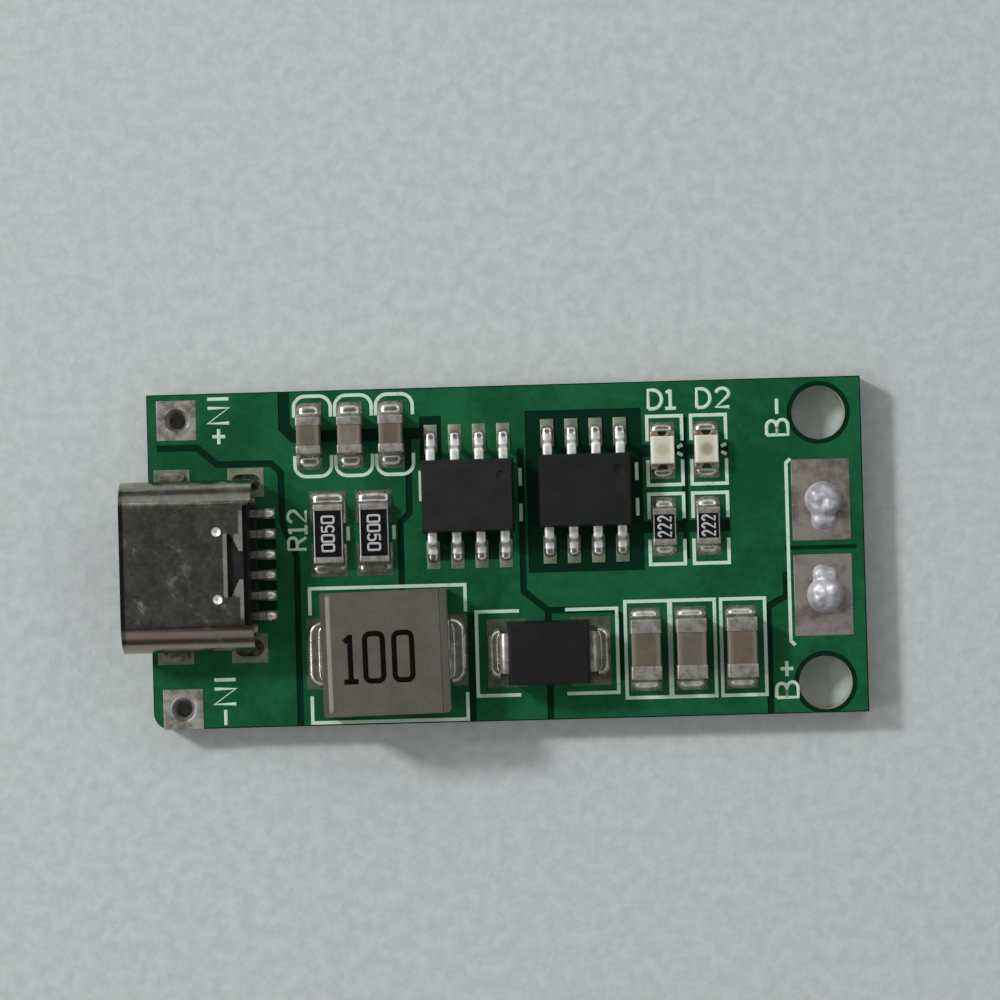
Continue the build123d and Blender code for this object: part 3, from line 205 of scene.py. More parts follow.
class Surface(Graph):
    """A material's tree: patterns on Object coordinates that feed one Principled shader."""

    def __init__(self, name: str) -> None:
        """Makes an empty material with its position in millimetres.

        Args:
            name: The material's name.
        """
        super().__init__(bpy.data.materials.new(name))
        place = self.add("ShaderNodeTexCoord", {}, {}, "Object")
        sockets = {0: place, "Scale": 1 / MM}
        self.millimetres = self.add("ShaderNodeVectorMath", {"operation": "SCALE"}, sockets)

    def stretch(self, scale: Point, turn: float = 0.0) -> Wire:
        """Position in millimetres, turned about the vertical and scaled along each axis.

        Args:
            scale: Factors along X, Y and Z after the turn.
            turn: Angle in degrees.

        Returns:
            The new position.
        """
        sockets = {"Vector": self.millimetres, "Angle": radians(turn)}
        turned = self.add("ShaderNodeVectorRotate", {"rotation_type": "Z_AXIS"}, sockets)
        return self.add("ShaderNodeVectorMath", {"operation": "MULTIPLY"}, {0: turned, 1: scale})

    def noise(
        self, scale: float, detail: float = 3.0, rough: float = 0.55, where: Optional[Wire] = None
    ) -> Wire:
        """Noise between about 0 and 1.

        Args:
            scale: Features per millimetre.
            detail: Octaves.
            rough: Strength of the finer octaves.
            where: Position in millimetres, plain if left out.

        Returns:
            The noise value.
        """
        sockets = {"Vector": where or self.millimetres, "Scale": scale, "Detail": detail, "Roughness": rough}
        return self.add("ShaderNodeTexNoise", {}, sockets)

    def cells(self, scale: float) -> Wire:
        """Distance to the middle of the nearest cell, with scale cells per millimetre."""
        return self.add("ShaderNodeTexVoronoi", {}, {"Vector": self.millimetres, "Scale": scale})

    def axis(self, name: str) -> Wire:
        """The position's X, Y or Z in millimetres."""
        return self.add("ShaderNodeSeparateXYZ", {}, {0: self.millimetres}, name)

    def facing(self, name: str) -> Wire:
        """The surface normal's X, Y or Z."""
        normal = self.add("ShaderNodeNewGeometry", {}, {}, "True Normal")
        return self.add("ShaderNodeSeparateXYZ", {}, {0: normal}, name)

    def mix(self, factor: Number, first: Union[Colour, Wire], second: Union[Colour, Wire]) -> Wire:
        """Colour between two colours.

        Args:
            factor: 0 gives the first, 1 the second.
            first: Colour or wire.
            second: Colour or wire.

        Returns:
            The mixed colour.
        """
        node = self.tree.nodes.new("ShaderNodeMix")
        node.data_type = "RGBA"
        self.connect(node.inputs[0], factor)
        self.connect(node.inputs[6], first)
        self.connect(node.inputs[7], second)
        return Wire(self, node.outputs[2])

    def bump(self, height: Wire, depth: float, strength: float = 1.0) -> Wire:
        """Normal from a height.

        Args:
            height: Height pattern between 0 and 1.
            depth: Height of 1 in millimetres.
            strength: Share of the effect.

        Returns:
            The normal.
        """
        sockets = {"Height": height, "Distance": depth * MM, "Strength": strength}
        return self.add("ShaderNodeBump", {}, sockets)

    def finish(self, **inputs: object) -> bpy.types.Material:
        """Adds the Principled shader and the output.

        Args:
            inputs: The shader's sockets, with an underscore for each space in a name.

        Returns:
            The finished material.
        """
        sockets = {key.replace("_", " "): value for key, value in inputs.items()}
        self.close(self.add("ShaderNodeBsdfPrincipled", {}, sockets), "ShaderNodeOutputMaterial")
        return self.owner


@dataclass(frozen=True)
class MaskFinish:
    """Glossy green mask over copper, mottled where the copper below is uneven."""

    name: str = "green_mask_over_copper"
    colour: Colour = (0.005, 0.068, 0.023)
    bright: Colour = (0.01, 0.108, 0.04)
    roughness: float = 0.3

    def material(self) -> bpy.types.Material:
        """Builds the material."""
        g = Surface(self.name)
        clouds = g.noise(0.35, 4.0, 0.6)
        weave = g.noise(2.6, 2.0, 0.5)
        tone = (clouds * 0.75 + weave * 0.25).ramp(0.36, 0.66)
        return g.finish(
            Base_Color=g.mix(tone, self.colour, self.bright),
            Roughness=self.roughness + weave * 0.12,
            Specular_IOR_Level=0.15,
            Normal=g.bump(g.noise(5.0, 3.0) * 0.5 + clouds, 0.012, 0.5),
        )


@dataclass(frozen=True)
class LaminateFinish:
    """Glass-epoxy board: dark green mask above and below, woven glass layers on its cut sides."""

    name: str = "glass_epoxy_board"
    mask: Colour = (0.0008, 0.02, 0.008)
    under_mask: Colour = (0.007, 0.09, 0.03)
    resin: Colour = (0.24, 0.26, 0.16)
    glass: Colour = (0.46, 0.48, 0.37)
    thickness: float = 1.55
    layers: float = 8.0
    skin: float = 0.035

    def material(self) -> bpy.types.Material:
        """Builds the material."""
        g = Surface(self.name)
        height = g.axis("Z")
        up = g.facing("Z")
        level = abs(up).ramp(0.55, 0.8)
        wobble = g.noise(1.3, 2.0) * 0.5
        phase = height * (2 * pi * self.layers / self.thickness) + wobble * 5
        bands = g.add("ShaderNodeMath", {"operation": "SINE"}, {0: phase})
        fibres = g.noise(9.0, 3.0, 0.7, g.stretch((1.0, 1.0, 4.0)))
        side = g.mix((bands * 0.5 + fibres * 0.9).ramp(0.15, 0.95), self.resin, self.glass)
        half = self.thickness / 2
        edge = abs(height - half).ramp(half - 2 * self.skin, half - self.skin)
        side = g.mix(edge, side, self.mask)
        face = g.mix(up.ramp(-0.5, 0.5), self.under_mask, self.mask)
        weave = g.noise(3.0, 3.0)
        return g.finish(
            Base_Color=g.mix(level, side, face),
            Roughness=level.ramp(0.0, 1.0, 0.75, 0.38),
            Specular_IOR_Level=0.12,
            Normal=g.bump(fibres * 0.6 + weave, 0.012, 0.5),
        )


@dataclass(frozen=True)
class PrintFinish:
    """Thin greenish-white ink that lets the mask show through where it is thin."""

    name: str = "white_print"
    ink: Colour = (0.5, 0.66, 0.53)
    thin: Colour = (0.28, 0.45, 0.33)

    def material(self) -> bpy.types.Material:
        """Builds the material."""
        g = Surface(self.name)
        patches = g.noise(3.5, 4.0, 0.7)
        return g.finish(
            Base_Color=g.mix(patches.ramp(0.28, 0.46), self.thin, self.ink),
            Roughness=0.6,
            Normal=g.bump(patches, 0.01, 0.6),
        )


@dataclass(frozen=True)
class TarnishedMetal:
    """Bare tinned copper or plating with blotches of tarnish."""

    name: str
    clean: Colour = (0.42, 0.4, 0.37)
    tarnish: Colour = (0.17, 0.145, 0.125)
    metallic: float = 0.75
    roughness: float = 0.42
    blotch: float = 1.6
    low: float = 0.38
    high: float = 0.64
    relief: float = 0.02

    def material(self) -> bpy.types.Material:
        """Builds the material."""
        g = Surface(self.name)
        blotches = g.noise(self.blotch, 5.0, 0.62)
        grain = g.noise(14.0, 3.0, 0.6)
        tone = (blotches * 0.8 + grain * 0.2).ramp(self.low, self.high)
        return g.finish(
            Base_Color=g.mix(tone, self.clean, self.tarnish),
            Metallic=self.metallic,
            Roughness=self.roughness + blotches * 0.16,
            Normal=g.bump(grain * 0.5 + blotches, self.relief, 0.7),
        )


@dataclass(frozen=True)
class SolderFinish:
    """Bright solder with a slightly wrinkled skin and dull patches of flux."""

    name: str = "solder"
    bright: Colour = (0.56, 0.555, 0.5)
    dull: Colour = (0.31, 0.295, 0.25)
    roughness: float = 0.2
    metallic: float = 0.95
    relief: float = 0.008

    def material(self) -> bpy.types.Material:
        """Builds the material."""
        g = Surface(self.name)
        wrinkles = g.noise(5.5, 3.0, 0.6)
        patches = g.noise(2.2, 4.0, 0.6)
        return g.finish(
            Base_Color=g.mix(patches.ramp(0.4, 0.7), self.bright, self.dull),
            Metallic=self.metallic,
            Roughness=self.roughness + patches * 0.14,
            Normal=g.bump(wrinkles, self.relief, 0.6),
        )


@dataclass(frozen=True)
class ShellFinish:
    """Plated sheet steel, handled and scuffed: mottled smears and pale slanting rubs, with painted reflections
    on its flanks, painted shade inside it and painted highlights on its bent edges and dimples.
    """

    name: str = "shell_steel"
    dark: Colour = (0.3, 0.285, 0.24)
    light: Colour = (0.5, 0.485, 0.42)
    warm: Colour = (0.36, 0.3, 0.25)
    rub: Colour = (0.62, 0.61, 0.56)
    # Dark tone of the painted shade on the upper flank and inside the shell, and of the darker band along the
    # front edge.
    shade_and_front_dark: Colour = (0.09, 0.088, 0.078)
    brown: Colour = (0.19, 0.15, 0.12)
    dimple_highlight: Colour = (0.9, 0.9, 0.86)
    roughness: float = 0.15
    rub_turn: float = 46.0
    front_x: float = -20.0
    front_dark_width: float = 0.24
    dimples: tuple[tuple[float, float], ...] = ((-14.94, 1.47), (-14.94, -2.03))
    dimple_radius: float = 0.27
    lip: Colour = (0.21, 0.204, 0.18)
    middle_y: float = -0.28
    rear_x: float = -13.56
    window_x: float = -14.4
    window_half: float = 1.6
    lip_width: float = 0.18
    top: tuple[float, float] = (4.66, 4.7)
    under_top: tuple[float, float] = (4.3, 4.45)
    inside: tuple[float, float] = (3.0, 3.2)
    flat_half: tuple[float, float] = (2.6, 2.9)
    tongue_x: tuple[float, float] = (-14.1, -13.95)

    def material(self) -> bpy.types.Material:
        """Builds the material."""
        g = Surface(self.name)
        smears = g.noise(0.9, 5.0, 0.65)
        grime = g.noise(3.2, 4.0, 0.7)
        rubs = g.noise(1.0, 3.0, 0.6, g.stretch((0.5, 1.3, 1.0), self.rub_turn))
        fine = g.noise(2.0, 2.0, 0.5, g.stretch((0.6, 6.0, 1.0), self.rub_turn))
        marks = rubs.ramp(0.52, 0.72) * smears.ramp(0.4, 0.62)
        scratches = fine.ramp(0.66, 0.8) * grime.ramp(0.42, 0.62)
        tone = (smears * 0.6 + grime * 0.4).ramp(0.38, 0.64)
        side = g.facing("Y")
        base = g.mix(tone, self.dark, self.light)
        # Painted reflection: faces that turn towards -Y are tinted a warm brown-grey.
        base = g.mix(side.ramp(-0.85, -0.15, 1.0, 0.0), base, self.warm)
        base = g.mix((marks * 0.45 + scratches * 0.3).ramp(0.0, 1.0), base, self.rub)
        # Painted shade: a dark band across the upper flank, standing for the dim horizon that it reflects.
        shade = side.ramp(0.24, 0.38) * side.ramp(0.64, 0.78, 1.0, 0.0)
        base = g.mix(shade * 0.72, base, self.shade_and_front_dark)
        # Painted reflection: a brown band across the lower flank.
        lower_reflection = side.ramp(-0.76, -0.66) * side.ramp(-0.14, -0.03, 1.0, 0.0)
        base = g.mix(lower_reflection * 0.85, base, self.brown)
        # Darker band along the front edge of the top.
        x, width = g.axis("X"), self.front_dark_width
        front_dark = x.ramp(self.front_x + 0.8 * width, self.front_x + 1.2 * width, 1.0, 0.0)
        base = g.mix(front_dark * g.facing("Z").ramp(0.5, 0.9), base, self.shade_and_front_dark)
        # Painted shade: the inside of the shell behind the top's rear edge is darkened.
        behind = x.ramp(self.rear_x, self.rear_x + 0.03) * g.axis("Z").ramp(*self.under_top, 1.0, 0.0)
        inner = abs(g.axis("Y") - self.middle_y).ramp(*self.inside, 1.0, 0.0)
        base = g.mix(behind * inner, base, self.shade_and_front_dark)
        # Painted highlight on the bent edges, which are also less metallic and rougher there.
        bright = self.lips(g) * (0.35 + grime * 0.9)
        # Painted highlight in the dimples, where their glint falls.
        worn = self.hollows(g)
        scuffs = grime * 0.1 + marks * 0.18 + scratches * 0.1
        return g.finish(
            Base_Color=g.mix(worn, g.mix(bright, base, self.lip), self.dimple_highlight),
            Metallic=1.0 - bright * 0.6,
            Roughness=self.roughness + scuffs + worn * 0.2 + bright * 0.3,
            Normal=g.bump(grime * 0.5 + scratches * 0.5, 0.005, 0.5),
        )

    def lips(self, g: Surface) -> Wire:
        """Mask of the bent edges that get a painted highlight: the window's front lip and the top's rear edge.

        Args:
            g: The material's graph.

        Returns:
            1 on the bright edges and 0 elsewhere.
        """
        x, across = g.axis("X"), abs(g.axis("Y") - self.middle_y)
        half, lip, back = self.window_half, self.window_x - self.lip_width, self.rear_x - self.lip_width
        front = x.ramp(lip - 0.07, lip + 0.03) * x.ramp(self.window_x, self.window_x + 0.05, 1.0, 0.0)
        front = front * across.ramp(half - 0.05, half + 0.12, 1.0, 0.0)
        rear = x.ramp(back - 0.07, back + 0.03) * across.ramp(*self.flat_half, 1.0, 0.0)
        tongue = x.ramp(*self.tongue_x) * across.ramp(half - 0.1, half + 0.12, 1.0, 0.0)
        edges = g.maths(Maths.MAXIMUM, front, g.maths(Maths.MAXIMUM, rear, tongue))
        return edges * g.axis("Z").ramp(*self.top)

    def hollows(self, g: Surface) -> Wire:
        """Mask of the dimples, which get a painted highlight.

        Args:
            g: The material's graph.

        Returns:
            1 inside the dimples and 0 elsewhere.
        """
        distances = []
        for x, y in self.dimples:
            across, along = g.axis("X") - x, g.axis("Y") - y
            distances.append((across * across + along * along) ** 0.5)
        nearest = g.maths(Maths.MINIMUM, distances[0], distances[1])
        return nearest.ramp(0.85 * self.dimple_radius, self.dimple_radius, 1.0, 0.0)


@dataclass(frozen=True)
class Moulding:
    """Black or grey moulding compound with a fine dull grain."""

    name: str
    colour: Colour = (0.02, 0.02, 0.021)
    worn: Colour = (0.05, 0.05, 0.052)
    roughness: float = 0.5
    grain: float = 16.0
    relief: float = 0.012

    def material(self) -> bpy.types.Material:
        """Builds the material."""
        g = Surface(self.name)
        speckle = g.noise(self.grain, 3.0, 0.7)
        smudge = g.noise(0.8, 3.0)
        return g.finish(
            Base_Color=g.mix((speckle * 0.5 + smudge * 0.5).ramp(0.4, 0.7), self.colour, self.worn),
            Roughness=self.roughness + speckle * 0.12,
            Specular_IOR_Level=0.2,
            Normal=g.bump(speckle, self.relief, 0.8),
        )


@dataclass(frozen=True)
class CeramicFinish:
    """Fired ceramic, matt, with fine pits and a painted highlight along both long sides."""

    name: str
    colour: Colour
    edge: Colour = (0.2, 0.175, 0.125)
    half_width: float = 0.65
    centre_x: float = 0.0
    darkening: float = 0.72

    def material(self) -> bpy.types.Material:
        """Builds the material."""
        g = Surface(self.name)
        grain = g.noise(9.0, 4.0, 0.7)
        patches = g.noise(1.4, 3.0)
        # Painted highlight: lighter towards both long sides.
        rim = abs(g.axis("X") - self.centre_x).ramp(self.half_width - 0.34, self.half_width - 0.06)
        darker = tuple(self.darkening * c for c in self.colour)
        base = g.mix((grain * 0.5 + patches * 0.5).ramp(0.35, 0.65), darker, self.colour)
        return g.finish(
            Base_Color=g.mix(rim * 0.7, base, self.edge),
            Roughness=0.5 + grain * 0.15,
            Normal=g.bump(grain, 0.012, 0.7),
        )


@dataclass(frozen=True)
class GlassyCoat:
    """Glassy black coat over a resistor."""

    name: str = "resistor_coat"
    colour: Colour = (0.003, 0.003, 0.005)
    pale: Colour = (0.008, 0.008, 0.011)

    def material(self) -> bpy.types.Material:
        """Builds the material."""
        g = Surface(self.name)
        ripple = g.noise(2.4, 3.0)
        return g.finish(
            Base_Color=g.mix(ripple.ramp(0.4, 0.7), self.colour, self.pale),
            Roughness=0.26 + ripple * 0.12,
            Specular_IOR_Level=0.25,
            Normal=g.bump(ripple, 0.02, 0.5),
        )


@dataclass(frozen=True)
class PowderCore:
    """Pressed metal powder under a warm grey coat: fine grain and a few dark specks, with painted shade on the
    left chamfer, painted light on the right one and a painted highlight along the left top edge.
    """

    name: str = "powder_core"
    colour: Colour = (0.072, 0.067, 0.05)
    pale: Colour = (0.11, 0.103, 0.08)
    speck: Colour = (0.04, 0.037, 0.03)
    rubbed: Colour = (0.34, 0.325, 0.28)
    shaded: Colour = (0.05, 0.047, 0.036)
    middle: tuple[float, float] = (-6.4, -5.02)
    turn: float = 1.0
    crest: float = -2.86
    crest_width: float = 0.15
    crest_half: tuple[float, float] = (2.85, 3.1)

    def material(self) -> bpy.types.Material:
        """Builds the material."""
        g = Surface(self.name)
        grain = g.noise(11.0, 4.0, 0.75)
        broad = g.noise(0.7, 3.0, 0.6)
        base = g.mix((grain * 0.6 + broad * 0.4).ramp(0.34, 0.66), self.colour, self.pale)
        specks = g.cells(3.4).ramp(0.03, 0.12, 1.0, 0.0)
        base = g.mix(specks * 0.7, base, self.speck)
        across = g.axis("X") - self.middle[0] + (g.axis("Y") - self.middle[1]) * sin(radians(self.turn))
        # Painted shade on the left chamfer.
        base = g.mix(across.ramp(self.crest - 0.12, self.crest - 0.04, 0.75, 0.0), base, self.shaded)
        # Painted light: the right chamfer is lightened.
        base = g.mix(across.ramp(-self.crest + 0.07, -self.crest + 0.11, 0.0, 0.5), base, self.rubbed)
        # Painted highlight: a light line along the left top edge, fading towards its ends.
        line = abs(across - self.crest).ramp(0.4 * self.crest_width, self.crest_width, 1.0, 0.0)
        ends = abs(g.axis("Y") - self.middle[1]).ramp(*self.crest_half, 1.0, 0.0)
        return g.finish(
            Base_Color=g.mix(line * ends * (0.4 + grain * 0.6), base, self.rubbed),
            Metallic=0.15,
            Roughness=0.42 + grain * 0.16,
            Normal=g.bump(grain, 0.022, 0.9),
        )


@dataclass(frozen=True)
class LampResin:
    """Milky resin of an indicator lamp, brighter along its sides."""

    name: str
    centre: Point
    colour: Colour = (0.6, 0.585, 0.48)
    side: Colour = (0.82, 0.81, 0.72)
    core: Colour = (0.5, 0.47, 0.36)

    def material(self) -> bpy.types.Material:
        """Builds the material."""
        g = Surface(self.name)
        across = abs(g.axis("X") - self.centre[0] / MM)
        along = abs(g.axis("Y") - self.centre[1] / MM)
        cloud = g.noise(2.4, 3.0)
        middle = (across * across + along * along).ramp(0.02, 0.2, 1.0, 0.0)
        base = g.mix(across.ramp(0.3, 0.62), self.colour, self.side)
        return g.finish(
            Base_Color=g.mix(middle * 0.6 + cloud * 0.2, base, self.core),
            Roughness=0.3 + cloud * 0.1,
            Coat_Weight=0.4,
            Subsurface_Weight=0.25,
            Subsurface_Radius=(0.6, 0.5, 0.35),
            Subsurface_Scale=0.3 * MM,
            Normal=g.bump(cloud, 0.02, 0.5),
        )


@dataclass(frozen=True)
class InkFinish:
    """Stamped or fired marking ink."""

    name: str
    ink: Colour
    worn: Colour

    def material(self) -> bpy.types.Material:
        """Builds the material."""
        g = Surface(self.name)
        wear = g.noise(6.0, 4.0, 0.7)
        return g.finish(
            Base_Color=g.mix(wear.ramp(0.5, 0.75), self.ink, self.worn),
            Roughness=0.6 + wear * 0.2,
            Specular_IOR_Level=0.06,
        )


@dataclass(frozen=True)
class PaperFinish:
    """Pale grey paper of the floor."""

    name: str = "pale_paper"
    colour: Colour = (0.44, 0.472, 0.47)
    fibre: Colour = (0.5, 0.532, 0.53)

    def material(self) -> bpy.types.Material:
        """Builds the material."""
        g = Surface(self.name)
        fibres = g.noise(1.3, 4.0, 0.65)
        return g.finish(
            Base_Color=g.mix(fibres.ramp(0.34, 0.66), self.colour, self.fibre),
            Roughness=0.9,
            Specular_IOR_Level=0.1,
            Normal=g.bump(fibres, 0.12, 0.35),
        )


def mesh_object(name: str, points: Sequence[Point], faces: Sequence[Sequence[int]]) -> bpy.types.Object:
    """Makes an object from points and faces.

    Args:
        name: The piece's name.
        points: Vertices in metres.
        faces: Vertex numbers of each face.

    Returns:
        The new object, linked to the scene.
    """
    mesh = bpy.data.meshes.new(name)
    mesh.from_pydata(points, [], faces)
    mesh.update()
    return shown(name, mesh)


def closed_form(name: str, points: Sequence[Point], faces: Sequence[Sequence[int]]) -> bpy.types.Object:
    """Makes a smooth-shaded closed object with its faces turned outwards.

    Args:
        name: The piece's name.
        points: Vertices in metres.
        faces: Vertex numbers of each face.

    Returns:
        The new object, linked to the scene.
    """
    piece = mesh_object(name, points, faces)
    shape = bmesh.new()
    shape.from_mesh(piece.data)
    bmesh.ops.recalc_face_normals(shape, faces=shape.faces)
    shape.to_mesh(piece.data)
    shape.free()
    return smooth(piece, ROUND)


def shown(name: str, mesh: bpy.types.Mesh) -> bpy.types.Object:
    """Links a new object for a mesh."""
    piece = bpy.data.objects.new(name, mesh)
    bpy.context.scene.collection.objects.link(piece)
    return piece


def baked(piece: bpy.types.Object) -> bpy.types.Object:
    """Turns a piece with live modifiers into a plain mesh under the same name.

    Args:
        piece: The object whose modifiers are evaluated.

    Returns:
        A new object that holds the result.
    """
    graph = bpy.context.evaluated_depsgraph_get()
    mesh = bpy.data.meshes.new_from_object(piece.evaluated_get(graph))
    name = piece.name
    bpy.data.objects.remove(piece)
    mesh.name = name
    return shown(name, mesh)


def smooth(piece: bpy.types.Object, angle: float = ROUND) -> bpy.types.Object:
    """Shades a piece smooth, with sharp edges past an angle.

    Args:
        piece: The object.
        angle: Degrees between faces at which an edge stays sharp.

    Returns:
        The same object.
    """
    piece.data.shade_smooth()
    piece.data.set_sharp_from_angle(angle=radians(angle))
    return piece


class SolderRow:
    """A Geometry Nodes tree that repeats a master piece along a straight row."""

    def __init__(self) -> None:
        """Builds the tree."""
        tree = bpy.data.node_groups.new("solder_row", "GeometryNodeTree")
        face = tree.interface
        face.new_socket("Geometry", in_out="OUTPUT", socket_type="NodeSocketGeometry")
        self.inputs = {
            name: face.new_socket(name, in_out="INPUT", socket_type="NodeSocket" + kind)
            for name, kind in (
                ("Master", "Object"),
                ("Count", "Int"),
                ("Start", "Vector"),
                ("Step", "Vector"),
                ("Turn", "Float"),
                ("Finish", "Material"),
            )
        }
        entry = tree.nodes.new("NodeGroupInput")
        row = tree.nodes.new("GeometryNodeMeshLine")
        row.mode = "OFFSET"
        master = tree.nodes.new("GeometryNodeObjectInfo")
        turn = tree.nodes.new("ShaderNodeCombineXYZ")
        copies = tree.nodes.new("GeometryNodeInstanceOnPoints")
        real = tree.nodes.new("GeometryNodeRealizeInstances")
        dress = tree.nodes.new("GeometryNodeSetMaterial")
        leave = tree.nodes.new("NodeGroupOutput")
        for source, output, target, socket in (
            (entry, "Count", row, "Count"),
            (entry, "Start", row, "Start Location"),
            (entry, "Step", row, "Offset"),
            (entry, "Master", master, "Object"),
            (entry, "Turn", turn, "Z"),
            (row, "Mesh", copies, "Points"),
            (master, "Geometry", copies, "Instance"),
            (turn, "Vector", copies, "Rotation"),
            (copies, "Instances", real, "Geometry"),
            (real, "Geometry", dress, "Geometry"),
            (entry, "Finish", dress, "Material"),
            (dress, "Geometry", leave, "Geometry"),
        ):
            tree.links.new(source.outputs[output], target.inputs[socket])
        self.tree = tree

    def repeat(
        self,
        master: bpy.types.Object,
        count: int,
        start: Point,
        step: Point,
        turn: float,
        finish: bpy.types.Material,
    ) -> bpy.types.Mesh:
        """Repeats the master along a row.

        Args:
            master: The piece to repeat.
            count: Number of copies.
            start: Place of the first.
            step: Way from each to the next.
            turn: Turn of each about the vertical, in radians.
            finish: Their material.

        Returns:
            A plain mesh of the whole row.
        """
        holder = shown("row", bpy.data.meshes.new("row"))
        modifier = holder.modifiers.new("row", "NODES")
        modifier.node_group = self.tree
        for name, value in zip(self.inputs, (master, count, start, step, turn, finish)):
            modifier[self.inputs[name].identifier] = value
        graph = bpy.context.evaluated_depsgraph_get()
        mesh = bpy.data.meshes.new_from_object(holder.evaluated_get(graph))
        bpy.data.objects.remove(holder)
        return mesh


def joined(name: str, meshes: Iterable[bpy.types.Mesh]) -> bpy.types.Object:
    """Joins meshes into one object.

    Args:
        name: The object's name.
        meshes: The meshes, which are used up.

    Returns:
        The new object.
    """
    shape = bmesh.new()
    for mesh in meshes:
        shape.from_mesh(mesh)
    whole = bpy.data.meshes.new(name)
    shape.to_mesh(whole)
    shape.free()
    return shown(name, whole)


@dataclass(frozen=True)
class Fillet:
    """Form of a solder joint: a rounded bead along the pad's rim that climbs the terminal's end and sides."""

    corner: float = 0.46
    mound: float = 0.24
    band: float = 0.46
    swell: float = 2.5
    climb: float = 9.0
    sag: float = 0.3
    down: int = 14
    side_spans: int = 4
    corner_spans: int = 8

    def outline(self, crest: float, reach: float, width: float, back: float) -> list[tuple[float, ...]]:
        """Pairs of points round the joint, on the terminal's wall and on the pad's rim.

        Args:
            crest: Width of the terminal.
            reach: Way from the terminal's end to the rim.
            width: Width on the pad.
            back: Way that the solder runs along the terminal's sides.

        Returns:
            Wall x and y, rim x and y, and share of the climb, from the right side to the left.
        """
        wall, half = crest / 2, width / 2
        corner = min(self.corner, half * 0.95, reach * 0.95)
        count = self.side_spans
        behind = [-back * (1 - i / count) for i in range(count) if back]
        side = [(x, wall, x, half, 0.3 + 0.1 * i) for i, x in enumerate(behind)]
        side += [(0.0, wall, (reach - corner) * i / (count - 1), half, 1 - self.sag) for i in range(count)]
        for i in range(1, self.corner_spans + 1):
            angle = pi / 2 * i / self.corner_spans
            rim = (reach - corner + corner * sin(angle), half - corner + corner * cos(angle))
            share = 1 - 0.2 * i / self.corner_spans
            side.append((0.0, wall * share, *rim, 1 - self.sag * share * share))
        middle = [(0.0, 0.8 * wall * (1 - i / 5), reach, (half - corner) * (1 - i / 5)) for i in range(1, 10)]
        end = [(*place, 1 - self.sag * (place[1] / wall) ** 2) for place in middle]
        left = side + end
        right = [(a, -b, c, -d, share) for a, b, c, d, share in side]
        return right + left[::-1]

    def swelling(self, place: Vector, rim: Sequence[Vector]) -> float:
        """Height of the bead, from the distance to the rim.

        Args:
            place: Where the height is wanted.
            rim: Points along the rim.

        Returns:
            The height in millimetres.
        """
        nearest = self.band
        for start, end in zip(rim, rim[1:]):
            share = geometry.intersect_point_line(place, start, end)[1]
            nearest = min(nearest, (place - start.lerp(end, min(max(share, 0.0), 1.0))).length)
        return self.mound * (1 - (1 - nearest / self.band) ** self.swell)

    def master(
        self, name: str, crest: float, reach: float, width: float, height: float, back: float = 0.0
    ) -> bpy.types.Object:
        """Builds one joint at the origin, reaching along +X.

        Args:
            name: Name of the object.
            crest: Width of the terminal that the solder climbs.
            reach: Way from the terminal to the rim.
            width: Width on the pad.
            height: Height of the climb.
            back: Way that the solder runs along the terminal's sides.

        Returns:
            The closed joint, in metres, not linked anywhere else.
        """
        points = []
        pairs = self.outline(crest, reach, width, back)
        rim = [Vector(pair[2:4]) for pair in pairs]
        for wall_x, wall_y, rim_x, rim_y, share in pairs:
            wall, end = Vector((wall_x, wall_y)), Vector((rim_x, rim_y))
            foot = self.swelling(wall, rim)
            for j in range(self.down + 1):
                t = j / self.down
                place = wall.lerp(end, t)
                z = self.swelling(place, rim) + max(height * share - foot, 0) * (1 - t) ** self.climb
                points.append((place.x * MM, place.y * MM, z * MM))
            points.append((wall_x * MM, wall_y * MM, 0.0))
        row = self.down + 2
        faces = []
        for i in range(len(pairs) - 1):
            here, there = i * row, (i + 1) * row
            faces += [(here + j, here + j + 1, there + j + 1, there + j) for j in range(row - 1)]
            faces.append((here + row - 1, here, there, there + row - 1))
        last = (len(pairs) - 1) * row
        faces.append(tuple(range(row - 1, -1, -1)))
        faces.append(tuple(last + j for j in range(row)))
        return closed_form(name, points, faces)


